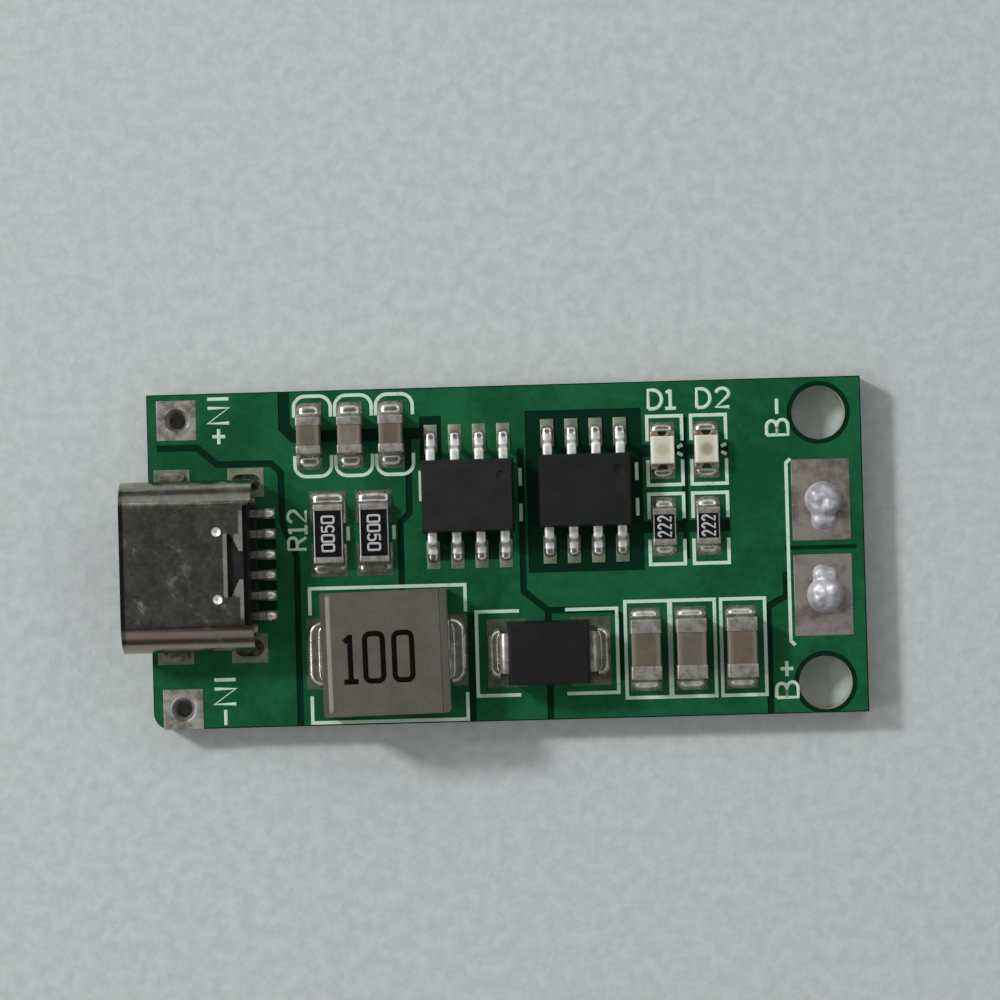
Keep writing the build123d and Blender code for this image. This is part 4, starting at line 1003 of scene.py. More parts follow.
@dataclass(frozen=True)
class GullWing:
    """Form of a chip's bent lead: flat shoulder, steep slope and flat foot, with rounded sides."""

    width: float = 0.5
    thickness: float = 0.2
    inside: float = 0.2
    shoulder: float = 0.55
    ankle: float = 0.695
    toe: float = 1.075
    exit_height: float = 0.845
    bend: float = 0.17
    neck: float = 0.88
    neck_angle: float = 0.6
    roundness: float = 2.4
    around: int = 16
    steps: int = 5

    def path(self) -> list[tuple[float, float, float]]:
        """Centre line: way along, height and slope angle of each point."""
        foot, top = self.thickness / 2, self.exit_height
        slope = atan2(foot - top, self.ankle - self.shoulder)
        cut_back = self.bend * tan(-slope / 2)
        stations = [(-self.inside, top, 0.0)]
        for x, z, first, last in ((self.shoulder, top, 0.0, slope), (self.ankle, foot, slope, 0.0)):
            arc = self.bend if last > first else -self.bend
            centre_x = x - cut_back * cos(first) - arc * sin(first)
            centre_z = z - cut_back * sin(first) + arc * cos(first)
            for i in range(self.steps + 1):
                angle = first + (last - first) * i / self.steps
                stations.append((centre_x + arc * sin(angle), centre_z - arc * cos(angle), angle))
        return stations + [(self.toe, foot, 0.0)]

    def master(self, name: str) -> bpy.types.Object:
        """Builds one lead that leaves the body at the origin along +X, its foot at height 0.

        Args:
            name: Name of the object.

        Returns:
            The closed lead.
        """
        points = []
        stations = self.path()
        power = 2 / self.roundness
        for x, z, angle in stations:
            share = self.neck if abs(angle) > self.neck_angle else 1.0
            for i in range(self.around):
                turn = 2 * pi * i / self.around
                across = copysign(abs(cos(turn)) ** power, cos(turn)) * self.width / 2 * share
                out = copysign(abs(sin(turn)) ** power, sin(turn)) * self.thickness / 2
                points.append(((x - sin(angle) * out) * MM, across * MM, (z + cos(angle) * out) * MM))
        faces = []
        for s in range(len(stations) - 1):
            here = s * self.around
            for i in range(self.around):
                after = (i + 1) % self.around
                faces.append((here + i, here + after, here + self.around + after, here + self.around + i))
        faces.append(tuple(range(self.around)))
        faces.append(tuple(range(len(points) - self.around, len(points))))
        return closed_form(name, points, faces)


@dataclass(frozen=True)
class Heap:
    """Form of a hand-soldered lump: round bumps that run into each other, with creases between."""

    bumps: tuple[tuple[float, float, float, float], ...] = ((0.0, 0.0, 1.0, 1.0),)
    blend: float = 3.5
    skirt: float = 0.1
    crease: float = 0.0
    around: int = 64
    rings: int = 16
    overlap: float = 0.12
    grain: float = 2.6

    def reach(self, angle: float) -> float:
        """Way from the middle to the outline.

        Args:
            angle: Direction in radians.

        Returns:
            The distance.
        """
        far = 0.0
        for x, y, radius, _ in self.bumps:
            along = x * cos(angle) + y * sin(angle)
            rest = radius * radius - (x * x + y * y - along * along)
            if rest > 0 and along - rest**0.5 < far + self.overlap:
                far = max(far, along + rest**0.5)
        return far

    def height(self, x: float, y: float) -> float:
        """Height of the bumps together at a place."""
        total = 0.0
        for cx, cy, radius, top in self.bumps:
            rest = 1 - ((x - cx) ** 2 + (y - cy) ** 2) / (radius * radius)
            total += (top * max(rest, 0.0) ** 0.5) ** self.blend
        return total ** (1 / self.blend)

    def master(self, name: str, scale: Point = (1.0, 1.0, 1.0), seed: float = 0.0) -> bpy.types.Object:
        """Builds the lump with its foot's middle at the origin.

        Args:
            name: Name of the object.
            scale: Factors along X, Y and Z.
            seed: Choice of the creases' pattern.

        Returns:
            The closed lump.
        """
        reaches = [self.reach(2 * pi * i / self.around) for i in range(self.around)]
        for _ in range(2):
            after = reaches[1:] + reaches[:1]
            reaches = [(reaches[i - 1] + 2 * reaches[i] + after[i]) / 4 for i in range(self.around)]
        points = [(0.0, 0.0, self.height(0.0, 0.0) * scale[2] * MM)]
        for ring in range(1, self.rings + 1):
            share = sin(pi / 2 * ring / self.rings)
            for i, reach in enumerate(reaches):
                angle = 2 * pi * i / self.around
                x, y = share * reach * cos(angle), share * reach * sin(angle)
                floor = self.skirt * max(1 - share * share, 0.0) ** 0.5
                wave = noise.noise(Vector((x * self.grain, y * self.grain, seed)))
                wrinkle = self.crease * wave * (1 - share**4)
                z = max(self.height(x, y), floor) * (1 - share**12) + wrinkle if ring < self.rings else 0.0
                points.append((x * scale[0] * MM, y * scale[1] * MM, max(z, 0.0) * scale[2] * MM))
        faces = [(0, 1 + i, 1 + (i + 1) % self.around) for i in range(self.around)]
        for ring in range(self.rings - 1):
            here = 1 + ring * self.around
            for i in range(self.around):
                after = (i + 1) % self.around
                faces.append((here + i, here + self.around + i, here + self.around + after, here + after))
        faces.append(tuple(range(len(points) - self.around, len(points))))
        return closed_form(name, points, faces)


@dataclass
class SubAssembly:
    """What the board's sub-assemblies share: dressing solids and adding pieces beside them."""

    nodes: dict = field(default_factory=lambda: frame["nodes"])

    def dress(self, node: str, finish: bpy.types.Material) -> None:
        """Gives a CAD node its material.

        Args:
            node: The node's name.
            finish: The material.
        """
        slots = self.nodes[node].data.materials
        slots.clear()
        slots.append(finish)
        log.info("dressed %s with %s", node, finish.name)

    def add(self, piece: bpy.types.Object, finish: bpy.types.Material, slot: str, *replaced: str) -> None:
        """Adds a finished piece to the object.

        Args:
            piece: The object, in place.
            finish: Its material.
            slot: Not used.
            replaced: CAD nodes that it stands for.
        """
        piece.data.materials.clear()
        piece.data.materials.append(finish)
        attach(piece, BODY)
        if replaced:
            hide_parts(*replaced)
        log.info("made %s, %d faces", piece.name, len(piece.data.polygons))

    def gather(
        self,
        name: str,
        meshes: Iterable[bpy.types.Mesh],
        finish: bpy.types.Material,
        slot: str,
        *replaced: str,
        angle: float = ROUND,
    ) -> None:
        """Joins meshes into one piece and adds it to the object.

        Args:
            name: The piece's name.
            meshes: Its meshes, in place.
            finish: Its material.
            slot: The record's material slot.
            replaced: CAD nodes that it stands for.
            angle: Degrees between faces at which an edge stays sharp.
        """
        self.add(smooth(joined(name, meshes), angle), finish, slot, *replaced)

    def refined(self, node: str, bevel: float, segments: int) -> bpy.types.Object:
        """A merged copy of a CAD node with eased edges.

        Args:
            node: The node's name.
            bevel: Width of the easing in millimetres.
            segments: Steps across it.

        Returns:
            The new object, called after the node.
        """
        shape = bmesh.new()
        shape.from_mesh(self.nodes[node].data)
        bmesh.ops.remove_doubles(shape, verts=shape.verts, dist=0.0005 * MM)
        bmesh.ops.dissolve_limit(
            shape,
            angle_limit=radians(0.5),
            verts=shape.verts,
            edges=shape.edges,
            use_dissolve_boundaries=False,
        )
        mesh = bpy.data.meshes.new(node + "_eased")
        shape.to_mesh(mesh)
        shape.free()
        mesh.shade_smooth()
        piece = shown(node + "_eased", mesh)
        easing = piece.modifiers.new("ease", "BEVEL")
        easing.width = bevel * MM
        easing.segments = segments
        easing.limit_method = "ANGLE"
        easing.angle_limit = radians(30.0)
        piece.modifiers.new("flats", "WEIGHTED_NORMAL").keep_sharp = False
        return baked(piece)

    def ease(self, node: str, finish: bpy.types.Material, slot: str, bevel: float, segments: int = 2) -> None:
        """Replaces a CAD node with its eased copy.

        Args:
            node: The node's name.
            finish: The material.
            slot: The record's material slot.
            bevel: Width of the easing in millimetres.
            segments: Steps across it.
        """
        self.add(self.refined(node, bevel, segments), finish, slot, node)


@dataclass
class Board(SubAssembly):
    """The laminate, its copper under green mask, the bare pads and the wire holes' linings."""

    pad_easing: float = 0.025
    copper_easing: float = 0.035
    laminate_easing: float = 0.03
    lining_easing: float = 0.02

    def build(self) -> None:
        """Dresses the board and eases its edges."""
        tin = TarnishedMetal("tarnished_tin").material()
        self.ease("board_laminate", LaminateFinish().material(), "glass_epoxy", self.laminate_easing)
        self.ease("board_copper_and_mask", MaskFinish().material(), "green_mask", self.copper_easing)
        olive = TarnishedMetal("olive_tin", clean=(0.26, 0.3, 0.205), tarnish=(0.16, 0.185, 0.125)).material()
        # Darker olive tin on the pads of the capacitors, resistors, lamps, inductor, diode and socket tails.
        dark_olive = TarnishedMetal("fluxed_tin", clean=(0.15, 0.18, 0.115), tarnish=(0.08, 0.1, 0.06)).material()
        for node, finish in (
            ("capacitor_pads", dark_olive),
            ("resistor_and_lamp_pads", dark_olive),
            ("chip_pads", olive),
            ("inductor_and_diode_pads", dark_olive),
            ("socket_leg_pads", olive),
            ("socket_tail_pads", dark_olive),
            ("wire_pads", tin),
        ):
            self.ease(node, finish, "tin", self.pad_easing)
        battery = TarnishedMetal(
            "battery_pad_tin",
            clean=(0.36, 0.325, 0.3),
            tarnish=(0.15, 0.12, 0.105),
            blotch=0.8,
            low=0.4,
            high=0.66,
            roughness=0.4,
        ).material()
        self.ease("battery_pads", battery, "tin", self.pad_easing)
        lining = TarnishedMetal("hole_tin", clean=(0.6, 0.6, 0.58)).material()
        self.ease("wire_hole_linings", lining, "tin", self.lining_easing)


Stroke = list[tuple[float, float]]


def bow(x: float, y: float, rx: float, ry: float, start: float, end: float, steps: int = 9) -> Stroke:
    """Points along part of an ellipse.

    Args:
        x: Centre across.
        y: Centre up.
        rx: Half width.
        ry: Half height.
        start: First angle in degrees.
        end: Last angle in degrees.
        steps: Number of spans.

    Returns:
        The points.
    """
    angles = [radians(start + (end - start) * i / steps) for i in range(steps + 1)]
    return [(x + rx * cos(a), y + ry * sin(a)) for a in angles]


GLYPHS: dict[str, list[Stroke]] = {
    "I": [[(0.5, 0.0), (0.5, 1.0)]],
    "N": [[(0.0, 0.0), (0.0, 1.0), (1.0, 0.0), (1.0, 1.0)]],
    "B": [
        [(0.0, 0.52), (0.6, 0.52)] + bow(0.6, 0.26, 0.4, 0.26, 90, -90) + [(0.0, 0.0), (0.0, 1.0)],
        [(0.0, 1.0), (0.55, 1.0)] + bow(0.55, 0.76, 0.38, 0.24, 90, -90) + [(0.0, 0.52)],
    ],
    "D": [[(0.0, 0.0), (0.0, 1.0), (0.35, 1.0)] + bow(0.35, 0.5, 0.65, 0.5, 90, -90, 14) + [(0.0, 0.0)]],
    "R": [
        [(0.0, 0.0), (0.0, 1.0), (0.6, 1.0)] + bow(0.6, 0.76, 0.4, 0.24, 90, -90) + [(0.0, 0.52)],
        [(0.5, 0.52), (1.0, 0.0)],
    ],
    "+": [[(0.0, 0.5), (1.0, 0.5)], [(0.5, 0.2), (0.5, 0.8)]],
    "-": [[(0.0, 0.5), (1.0, 0.5)]],
    "0": [
        bow(0.7, 0.89, 0.3, 0.11, 0, 90, 5) + bow(0.3, 0.89, 0.3, 0.11, 90, 180, 5)
        + bow(0.3, 0.11, 0.3, 0.11, 180, 270, 5) + bow(0.7, 0.11, 0.3, 0.11, 270, 360, 5) + [(1.0, 0.89)]
    ],
    "1": [[(0.18, 0.84), (0.5, 0.95)], [(0.5, 1.0), (0.5, 0.0)], [(0.1, 0.0), (0.9, 0.0)]],
    "2": [bow(0.5, 0.72, 0.48, 0.28, 170, -30) + [(0.0, 0.0), (1.0, 0.0)]],
    "5": [[(0.95, 1.0), (0.12, 1.0), (0.05, 0.55)] + bow(0.46, 0.33, 0.52, 0.33, 120, -150, 14)],
}


@dataclass(frozen=True)
class Lettering:
    """One line of stroke lettering, lying flat: its text, middle, size and turn."""

    text: str
    middle: tuple[float, float]
    height: float
    width: float
    turn: float = 0.0
    gap: float = 0.3
    stroke: float = 0.18
    thickness: float = 0.02
    slender: str = "I1"
    slender_share: float = 0.45

    def mesh(self, level: float) -> bpy.types.Mesh:
        """Builds the line.

        Args:
            level: Height of the surface that carries it, in millimetres.

        Returns:
            The line's mesh, in place.
        """
        curve = bpy.data.curves.new("line", "CURVE")
        curve.dimensions = "3D"
        curve.bevel_depth = self.stroke / 2 * MM
        curve.bevel_resolution = 2
        curve.use_fill_caps = True
        steps = [self.width * (self.slender_share if c in self.slender else 1.0) for c in self.text]
        length = sum(steps) + self.gap * (len(self.text) - 1)
        x = -length / 2
        for letter, step in zip(self.text, steps):
            shift = x - (self.width - step) / 2
            for stroke in GLYPHS[letter]:
                spline = curve.splines.new("POLY")
                spline.points.add(len(stroke) - 1)
                for place, (u, v) in zip(spline.points, stroke):
                    place.co = ((shift + u * self.width) * MM, (v - 0.5) * self.height * MM, 0.0, 1.0)
            x += step + self.gap
        holder = bpy.data.objects.new("line", curve)
        bpy.context.scene.collection.objects.link(holder)
        mesh = bpy.data.meshes.new_from_object(holder.evaluated_get(bpy.context.evaluated_depsgraph_get()))
        bpy.data.objects.remove(holder)
        flatten = Matrix.Diagonal((1.0, 1.0, self.thickness / (self.stroke / 2), 1.0))
        lift = Matrix.Translation(Vector((*self.middle, level)) * MM)
        mesh.transform(lift @ Matrix.Rotation(radians(self.turn), 4, "Z") @ flatten)
        return mesh


@dataclass
class ScreenPrint(SubAssembly):
    """White outlines and plain labels for the terminals, the lamps and the resistors."""

    wire_label_x: float = -14.96
    label_height: float = 1.12
    label_width: float = 0.8
    small_height: float = 0.98
    small_width: float = 0.7

    def labels(self) -> list[Lettering]:
        """The lines of lettering, in millimetres."""
        tall = {"height": self.label_height, "width": self.label_width}
        small = {"height": self.small_height, "width": self.small_width}
        return [
            Lettering("IN+", (self.wire_label_x, 7.4), turn=-90, **tall),
            Lettering("IN-", (self.wire_label_x, -7.35), turn=-90, **tall),
            Lettering("B-", (14.36, 6.75), turn=90, **tall),
            Lettering("B+", (14.5, -7.0), turn=90, **tall),
            Lettering("D1", (8.3, 7.84), **small),
            Lettering("D2", (11.03, 7.84), **small),
            Lettering("R12", (-10.97, 1.5), height=0.95, width=0.62, turn=90, gap=0.26, stroke=0.16),
        ]

    def build(self) -> None:
        """Dresses the outlines and adds the lettering."""
        finish = PrintFinish().material()
        self.dress("screen_print_outlines", finish)
        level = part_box("screen_print_outlines")[0].z / MM
        lines = [line.mesh(level) for line in self.labels()]
        self.gather("print_lettering", lines, finish, "white_print", angle=CRISP)


@dataclass
class Socket(SubAssembly):
    """The socket's shell, moulding, contacts and the solder on its tails and legs."""

    tail_count: int = 6
    tail_width: float = 0.4
    shell_easing: float = 0.05
    bead_place: float = -12.48
    bead_half: Point = (0.38, 0.27, 0.2)

    def build(self, rows: SolderRow) -> None:
        """Dresses the socket, with rows as the tree that repeats the beads."""
        self.ease("socket_shell", ShellFinish().material(), "shell_steel", self.shell_easing, 3)
        plastic = Moulding(
            "socket_plastic", colour=(0.008, 0.008, 0.009), worn=(0.02, 0.02, 0.021), roughness=0.4
        )
        self.dress("socket_insulator", plastic.material())
        # Painted shade: the contacts' plating is darkened for the shade of the shell over them.
        plated = TarnishedMetal("contact_plating", clean=(0.24, 0.235, 0.22), tarnish=(0.1, 0.095, 0.08))
        self.ease("socket_contacts", plated.material(), "contact_metal", 0.03)
        stained = TarnishedMetal(
            "stained_solder", clean=(0.26, 0.24, 0.19), tarnish=(0.07, 0.055, 0.035), blotch=2.4
        )
        self.dress("socket_solder", stained.material())
        low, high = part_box("socket_contacts")
        step = (high.y - low.y - self.tail_width * MM) / (self.tail_count - 1)
        start = (self.bead_place * MM, low.y + self.tail_width / 2 * MM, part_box("socket_tail_pads")[1].z)
        master = Heap().master("bead", self.bead_half)
        bright = SolderFinish(
            "tail_solder", bright=(0.86, 0.86, 0.82), dull=(0.6, 0.6, 0.55), roughness=0.36, metallic=0.7
        ).material()
        beads = rows.repeat(master, self.tail_count, start, (0.0, step, 0.0), 0.0, bright)
        bpy.data.objects.remove(master)
        self.gather("tail_beads", [beads], bright, "solder")


@dataclass
class ChipParts(SubAssembly):
    """Capacitors and resistors: ceramic, plated ends, coats, marks and their solder."""

    small_cap_colours: tuple[Colour, ...] = (
        (0.105, 0.1, 0.062),
        (0.185, 0.142, 0.105),
        (0.118, 0.092, 0.058),
    )
    large_cap_colours: tuple[Colour, ...] = (
        (0.112, 0.092, 0.06),
        (0.118, 0.1, 0.076),
        (0.13, 0.092, 0.062),
    )
    small_cap_reach: float = 0.78
    large_cap_reach: float = 0.6
    sense_reach: float = 0.7
    lamp_resistor_reach: float = 0.56

    def part(self, name: str, ceramic: bpy.types.Material, ends: bpy.types.Material, slot: str) -> None:
        """Dresses one part's ceramic and ends.

        Args:
            name: The part's name, without the ending.
            ceramic: Material of its body.
            ends: Material of its ends.
            slot: The record's slot of its body.
        """
        self.ease(name + "_ceramic", ceramic, slot, 0.1, 3)
        self.ease(name + "_ends", ends, "end_plating", 0.09, 3)

    def joints(
        self, name: str, rows: SolderRow, master: bpy.types.Object, solder: bpy.types.Material
    ) -> list[bpy.types.Mesh]:
        """The two solder joints of a part that lies along Y.

        Args:
            name: Node whose box gives the part's ends.
            rows: The tree that repeats joints.
            master: The joint, which is used up.
            solder: Its material.

        Returns:
            Two meshes.
        """
        low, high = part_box(name)
        middle = (low.x + high.x) / 2
        meshes = []
        for y, turn in ((high.y, pi / 2), (low.y, -pi / 2)):
            meshes.append(rows.repeat(master, 1, (middle, y, low.z), STILL, turn, solder))
        bpy.data.objects.remove(master)
        return meshes

    def joint(
        self, node: str, reach: float, width: float, height: float, back: float = 0.0
    ) -> bpy.types.Object:
        """A joint as wide as a node's terminals.

        Args:
            node: The terminals.
            reach: Reach on the pad.
            width: Width on the pad.
            height: Climb.
            back: Way along the terminal's sides.

        Returns:
            The joint.
        """
        low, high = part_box(node)
        crest = min((high.x - low.x) / MM, width - 0.04)
        return Fillet().master("joint", crest, reach, width, height, back)

    def capacitors(self, rows: SolderRow, ends: bpy.types.Material, solder: bpy.types.Material) -> None:
        """Dresses the input and output capacitors and adds their joints.

        Args:
            rows: The tree that repeats solder joints.
            ends: Material of the plated ends.
            solder: The solder's material.
        """
        meshes: list[bpy.types.Mesh] = []
        for kind, colours, width, reach, height in (
            ("input", self.small_cap_colours, 1.33, self.small_cap_reach, 0.66),
            ("output", self.large_cap_colours, 1.63, self.large_cap_reach, 0.78),
        ):
            for i, colour in enumerate(colours):
                name = f"{kind}_capacitor_{i + 1}"
                low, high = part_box(name + "_ceramic")
                half_width, centre_x = (high.x - low.x) / 2 / MM, (low.x + high.x) / 2 / MM
                finish = CeramicFinish(name, colour, half_width=half_width, centre_x=centre_x)
                self.part(name, finish.material(), ends, kind + "_ceramic")
                joint = self.joint(name + "_ends", reach, width, height)
                meshes += self.joints(name + "_ends", rows, joint, solder)
        self.gather("capacitor_joints", meshes, solder, "solder", "capacitor_solder")

    def resistors(self, rows: SolderRow, ends: bpy.types.Material, solder: bpy.types.Material) -> None:
        """Dresses the resistors, and adds their marks and the joints of resistors and lamps.

        Args:
            rows: The tree that repeats solder joints.
            ends: Material of the plated ends.
            solder: The solder's material.
        """
        alumina = CeramicFinish("alumina", (0.68, 0.67, 0.62), edge=(0.7, 0.7, 0.66)).material()
        coat = GlassyCoat().material()
        meshes: list[bpy.types.Mesh] = []
        marks = []
        for kind, text, turns, width, reach, height, back, size in (
            ("sense", "0050", (90.0, -90.0), 1.9, self.sense_reach, 0.5, 0.98, (0.62, 0.34)),
            ("lamp", "222", (90.0, 90.0), 1.28, self.lamp_resistor_reach, 0.4, 0.0, (0.66, 0.25)),
        ):
            for i, turn in enumerate(turns):
                name = f"{kind}_resistor_{i + 1}"
                self.part(name, alumina, ends, "white_ceramic")
                self.dress(name + "_coat", coat)
                low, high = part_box(name + "_coat")
                middle = ((low.x + high.x) / 2 / MM, (low.y + high.y) / 2 / MM)
                line = Lettering(text, middle, *size, turn, gap=0.15, stroke=0.115)
                marks.append(line.mesh(high.z / MM))
                joint = self.joint(name + "_ends", reach, width, height, back)
                meshes += self.joints(name + "_ends", rows, joint, solder)
        for i in (1, 2):
            joint = Fillet(mound=0.16, band=0.32).master("joint", 0.9, 0.46, 1.26, 0.29)
            meshes += self.joints(f"lamp_{i}_terminals", rows, joint, solder)
        self.gather("resistor_and_lamp_joints", meshes, solder, "solder", "resistor_and_lamp_solder")
        ink = InkFinish("resistor_ink", (0.46, 0.46, 0.46), (0.24, 0.24, 0.25)).material()
        self.gather("resistor_marks", marks, ink, "white_print", angle=CRISP)

    def build(self, rows: SolderRow, solder: bpy.types.Material) -> None:
        """Dresses all chip parts.

        Args:
            rows: The tree that repeats solder joints.
            solder: The solder's material.
        """
        ends = TarnishedMetal(
            "end_plating", clean=(0.47, 0.44, 0.4), tarnish=(0.24, 0.21, 0.18), blotch=2.2, roughness=0.36
        ).material()
        self.capacitors(rows, ends, solder)
        self.resistors(rows, ends, solder)


@dataclass
class Lamps(SubAssembly):
    """The two indicator lamps."""

    easing: float = 0.03
    cores: tuple[Colour, ...] = ((0.42, 0.38, 0.26), (0.2, 0.17, 0.1))

    def build(self) -> None:
        """Dresses both lamps."""
        terminals = TarnishedMetal(
            "lamp_terminals", clean=(0.5, 0.42, 0.3), tarnish=(0.14, 0.09, 0.05), roughness=0.35
        ).material()
        for i, core in enumerate(self.cores):
            name = f"lamp_{i + 1}"
            low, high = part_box(name + "_lens")
            centre = tuple((low + high) / 2)
            resin = LampResin(name + "_resin", centre, core=core).material()
            self.ease(name + "_lens", resin, "lamp_lens", self.easing)
            self.dress(name + "_base", LampResin(name + "_base_resin", centre).material())
            self.ease(name + "_terminals", terminals, "end_plating", self.easing)


@dataclass
class Chips(SubAssembly):
    """Two eight-lead chips with their leads and toe joints."""

    lead_count: int = 4
    lead_pitch: float = 1.27
    lead_width: float = 0.5
    toe_reach: float = 0.46
    toe_width: float = 0.64
    toe_height: float = 0.2
    body_easing: float = 0.05

    def build(self, rows: SolderRow, solder: bpy.types.Material) -> None:
        """Dresses both chips.

        Args:
            rows: The tree that repeats leads and solder joints.
            solder: The solder's material.
        """
        plating = TarnishedMetal(
            "lead_plating",
            clean=(0.86, 0.86, 0.84),
            tarnish=(0.55, 0.545, 0.52),
            blotch=3.0,
            metallic=0.7,
            roughness=0.42,
            relief=0.01,
        ).material()
        toe = Fillet(corner=0.26, mound=0.16, band=0.3, climb=4.0)
        toe_master = toe.master("toe", self.lead_width, self.toe_reach, self.toe_width, self.toe_height)
        lead_master = GullWing().master("lead")
        toes = []
        for name, colour, worn in (
            ("switch_chip", (0.0095, 0.0095, 0.0095), (0.018, 0.0175, 0.0175)),
            ("control_chip", (0.007, 0.0075, 0.0075), (0.014, 0.0145, 0.015)),
        ):
            moulding = Moulding(name + "_moulding", colour, worn).material()
            self.ease(name + "_body", moulding, "chip_plastic", self.body_easing)
            low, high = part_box(name + "_leads")
            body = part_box(name + "_body")
            first = low.x + self.lead_width / 2 * MM
            step = (self.lead_pitch * MM, 0.0, 0.0)
            count = self.lead_count
            leads = []
            for tip, side, turn in ((high.y, body[1].y, pi / 2), (low.y, body[0].y, -pi / 2)):
                toes.append(rows.repeat(toe_master, count, (first, tip, low.z), step, turn, solder))
                leads.append(rows.repeat(lead_master, count, (first, side, low.z), step, turn, plating))
            self.gather(name + "_bent_leads", leads, plating, "lead_metal", name + "_leads")
        bpy.data.objects.remove(toe_master)
        bpy.data.objects.remove(lead_master)
        self.gather("chip_toe_joints", toes, solder, "solder", "chip_solder")


@dataclass
class PowerParts(SubAssembly):
    """The inductor and the diode with their broad joints and the inductor's number."""

    number: str = "100"
    number_height: float = 2.44
    number_width: float = 0.92
    number_gap: float = 0.59
    number_shift: tuple[float, float] = (-0.26, -0.2)
    inductor_turn: float = 1.0
    lead_easing: float = 0.03

    def build(self, rows: SolderRow, solder: bpy.types.Material) -> None:
        """Dresses the inductor and the diode.

        Args:
            rows: The tree that repeats solder joints.
            solder: The solder's material.
        """
        self.ease("inductor_body", PowderCore().material(), "powder_core", 0.07, 3)
        plated = TarnishedMetal(
            "power_leads", clean=(0.6, 0.58, 0.54), tarnish=(0.26, 0.23, 0.2), roughness=0.3
        ).material()
        self.ease("inductor_clips", plated, "lead_metal", self.lead_easing)
        self.ease("diode_leads", plated, "lead_metal", self.lead_easing)
        moulding = Moulding("diode_moulding", (0.005, 0.0055, 0.005), (0.011, 0.0115, 0.011)).material()
        self.ease("diode_body", moulding, "chip_plastic", 0.06, 3)
        low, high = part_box("inductor_body")
        shift_x, shift_y = self.number_shift
        digits = Lettering(
            self.number,
            ((low.x + high.x) / 2 / MM + shift_x, (low.y + high.y) / 2 / MM + shift_y),
            height=self.number_height,
            width=self.number_width,
            turn=self.inductor_turn,
            gap=self.number_gap,
            stroke=0.28,
            slender_share=0.4,
        )
        ink = InkFinish("stamped_ink", (0.0025, 0.0012, 0.001), (0.008, 0.005, 0.004)).material()
        self.gather("inductor_number", [digits.mesh(high.z / MM)], ink, "powder_core", angle=CRISP)
        form = Fillet(corner=1.6, mound=0.26, band=0.36, climb=16.0, down=28)
        meshes = []
        for node, crest, width, reach, height in (
            ("inductor_clips", 2.6, 3.6, 0.84, 0.9),
            ("diode_leads", 1.9, 2.7, 0.68, 0.95),
        ):
            low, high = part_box(node)
            y = (low.y + high.y) / 2
            master = form.master("joint", crest, reach, width, height)
            for x, turn in ((high.x, 0.0), (low.x, pi)):
                meshes.append(rows.repeat(master, 1, (x, y, low.z), STILL, turn, solder))
            bpy.data.objects.remove(master)
        self.gather("power_joints", meshes, solder, "solder", "inductor_and_diode_solder")


@dataclass
class BatteryLumps(SubAssembly):
    """Hand-soldered lumps on the battery pads: a domed blob with creased lobes beside it."""

    lobes: tuple[tuple[float, float, float, float], ...] = (
        (0.0, 0.0, 0.95, 0.7),
        (0.45, -0.3, 0.46, 0.72),
        (-0.38, 0.25, 0.5, 0.66),
        (-0.2, -1.12, 0.46, 0.34),
        (0.3, -1.06, 0.38, 0.26),
    )
    crease: float = 0.09

    def build(self) -> None:
        """Builds both lumps, the lower one mirrored."""
        finish = SolderFinish(
            "wrinkled_solder",
            bright=(0.57, 0.565, 0.6),
            dull=(0.41, 0.4, 0.42),
            roughness=0.47,
            metallic=0.6,
            relief=0.03,
        ).material()
        low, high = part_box("battery_pad_solder")
        radius = self.lobes[0][2] * MM
        middle = (low.x + high.x) / 2
        lumps = []
        for name, y, side in (("upper", high.y - radius, 1.0), ("lower", low.y + radius, -1.0)):
            bumps = tuple((x, side * lobe_y, r, top) for x, lobe_y, r, top in self.lobes)
            lump = Heap(bumps, crease=self.crease, around=96, rings=24).master(name, seed=2.0 + side)
            lump.data.transform(Matrix.Translation((middle, y, low.z)))
            lumps.append(lump.data)
            bpy.data.objects.remove(lump)
        self.gather("battery_lumps", lumps, finish, "solder", "battery_pad_solder")


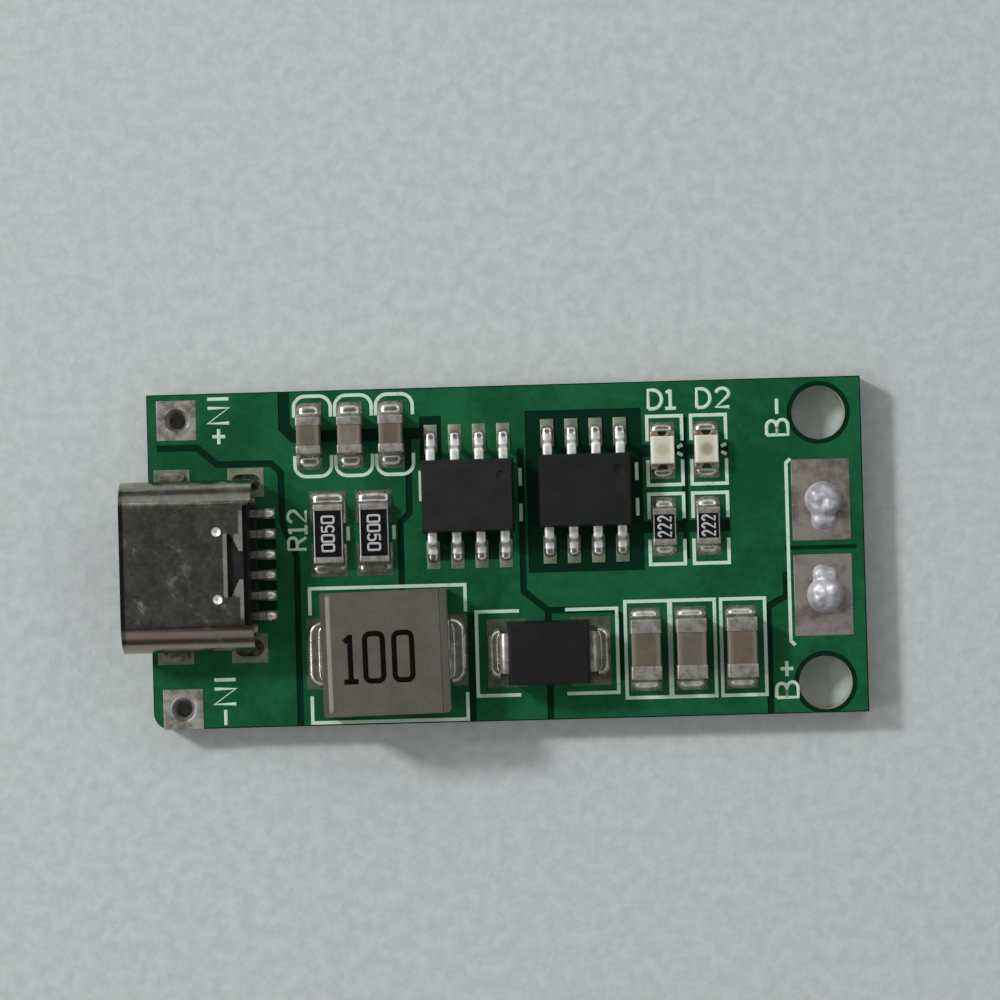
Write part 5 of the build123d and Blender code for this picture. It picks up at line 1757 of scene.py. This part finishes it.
@dataclass
class Studio:
    """Floor, lights and camera."""

    camera_place: Point = (3.849, -1.476, 201.503)
    camera_right: Point = (0.999411, -0.027018, -0.021177)
    camera_up: Point = (0.027457, 0.999408, 0.020748)
    camera_back: Point = (0.020604, -0.021317, 0.99956)
    focal_pixels: float = 3812.0
    frame_pixels: float = 1000.0
    sensor: float = 36.0
    light_distance: float = 0.6
    floor_half: float = 1.5
    sky: tuple[tuple[float, float], ...] = (
        (0.0, 0.15),
        (0.34, 0.15),
        (0.52, 0.83),
        (0.78, 0.81),
        (0.9, 0.08),
    )
    brighter_side: Point = (-0.22, 0.3, 0.0)

    def camera(self) -> None:
        """Sets the camera at the photograph's place and angle."""
        data = bpy.data.cameras.new("camera")
        data.sensor_width = self.sensor
        data.lens = self.focal_pixels * self.sensor / self.frame_pixels
        data.clip_start = 0.01
        camera = bpy.data.objects.new("camera", data)
        bpy.context.scene.collection.objects.link(camera)
        turn = Matrix((self.camera_right, self.camera_up, self.camera_back)).transposed().to_4x4()
        camera.matrix_world = Matrix.Translation(Vector(self.camera_place) * MM) @ turn
        bpy.context.scene.camera = camera

    def lamp(self, name: str, way: Point, power: float, size: float) -> None:
        """Adds a square soft light that faces the board.

        Args:
            name: The light's name.
            way: Direction from the board to the light.
            power: Power in watts.
            size: Side in metres.
        """
        data = bpy.data.lights.new(name, "AREA")
        data.energy = power
        data.size = size
        light = bpy.data.objects.new(name, data)
        bpy.context.scene.collection.objects.link(light)
        light.location = Vector(way).normalized() * self.light_distance
        light.rotation_euler = Vector(way).to_track_quat("Z", "Y").to_euler()

    def world(self) -> None:
        """Soft light from all sides: dark overhead, brightest half way down, dimmer at the horizon."""
        world = bpy.data.worlds.new("studio")
        bpy.context.scene.world = world
        g = Graph(world)
        way = g.add("ShaderNodeTexCoord", {}, {}, "Generated")
        height = g.add("ShaderNodeSeparateXYZ", {}, {0: way}, "Z")
        stops = [(place, (level * 0.98, level, level)) for place, level in self.sky]
        colour = g.add("ShaderNodeValToRGB", {"stops": stops}, {"Fac": height})
        sockets = {0: way, 1: self.brighter_side}
        lean = g.add("ShaderNodeVectorMath", {"operation": "DOT_PRODUCT"}, sockets, "Value")
        light = g.add("ShaderNodeBackground", {}, {"Color": colour, "Strength": lean + 1.0})
        g.close(light, "ShaderNodeOutputWorld")

    def build(self) -> None:
        """Sets up the whole studio."""
        half = self.floor_half
        corners = [(-half, -half, 0), (half, -half, 0), (half, half, 0), (-half, half, 0)]
        floor = mesh_object("floor", corners, [(0, 1, 2, 3)])
        floor.data.materials.append(PaperFinish().material())
        self.camera()
        self.lamp("main_light", (-1.89, 1.11, 1.6), 2.23, 0.075)
        self.lamp("second_light", (-0.733, -0.133, 0.667), 0.34, 0.055)
        self.lamp("third_light", (0.569, 0.478, 0.669), 0.13, 0.06)
        self.world()
        bpy.context.scene.view_settings.view_transform = "Standard"


def main() -> None:
    """Builds the charger board's looks and its studio."""
    logging.basicConfig(level=logging.INFO)
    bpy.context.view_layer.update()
    Studio().build()
    rows = SolderRow()
    solder = SolderFinish().material()
    Board().build()
    ScreenPrint().build()
    Socket().build(rows)
    ChipParts().build(rows, solder)
    Lamps().build()
    Chips().build(rows, solder)
    PowerParts().build(rows, solder)
    BatteryLumps().build()


if __name__ == "__main__":
    main()
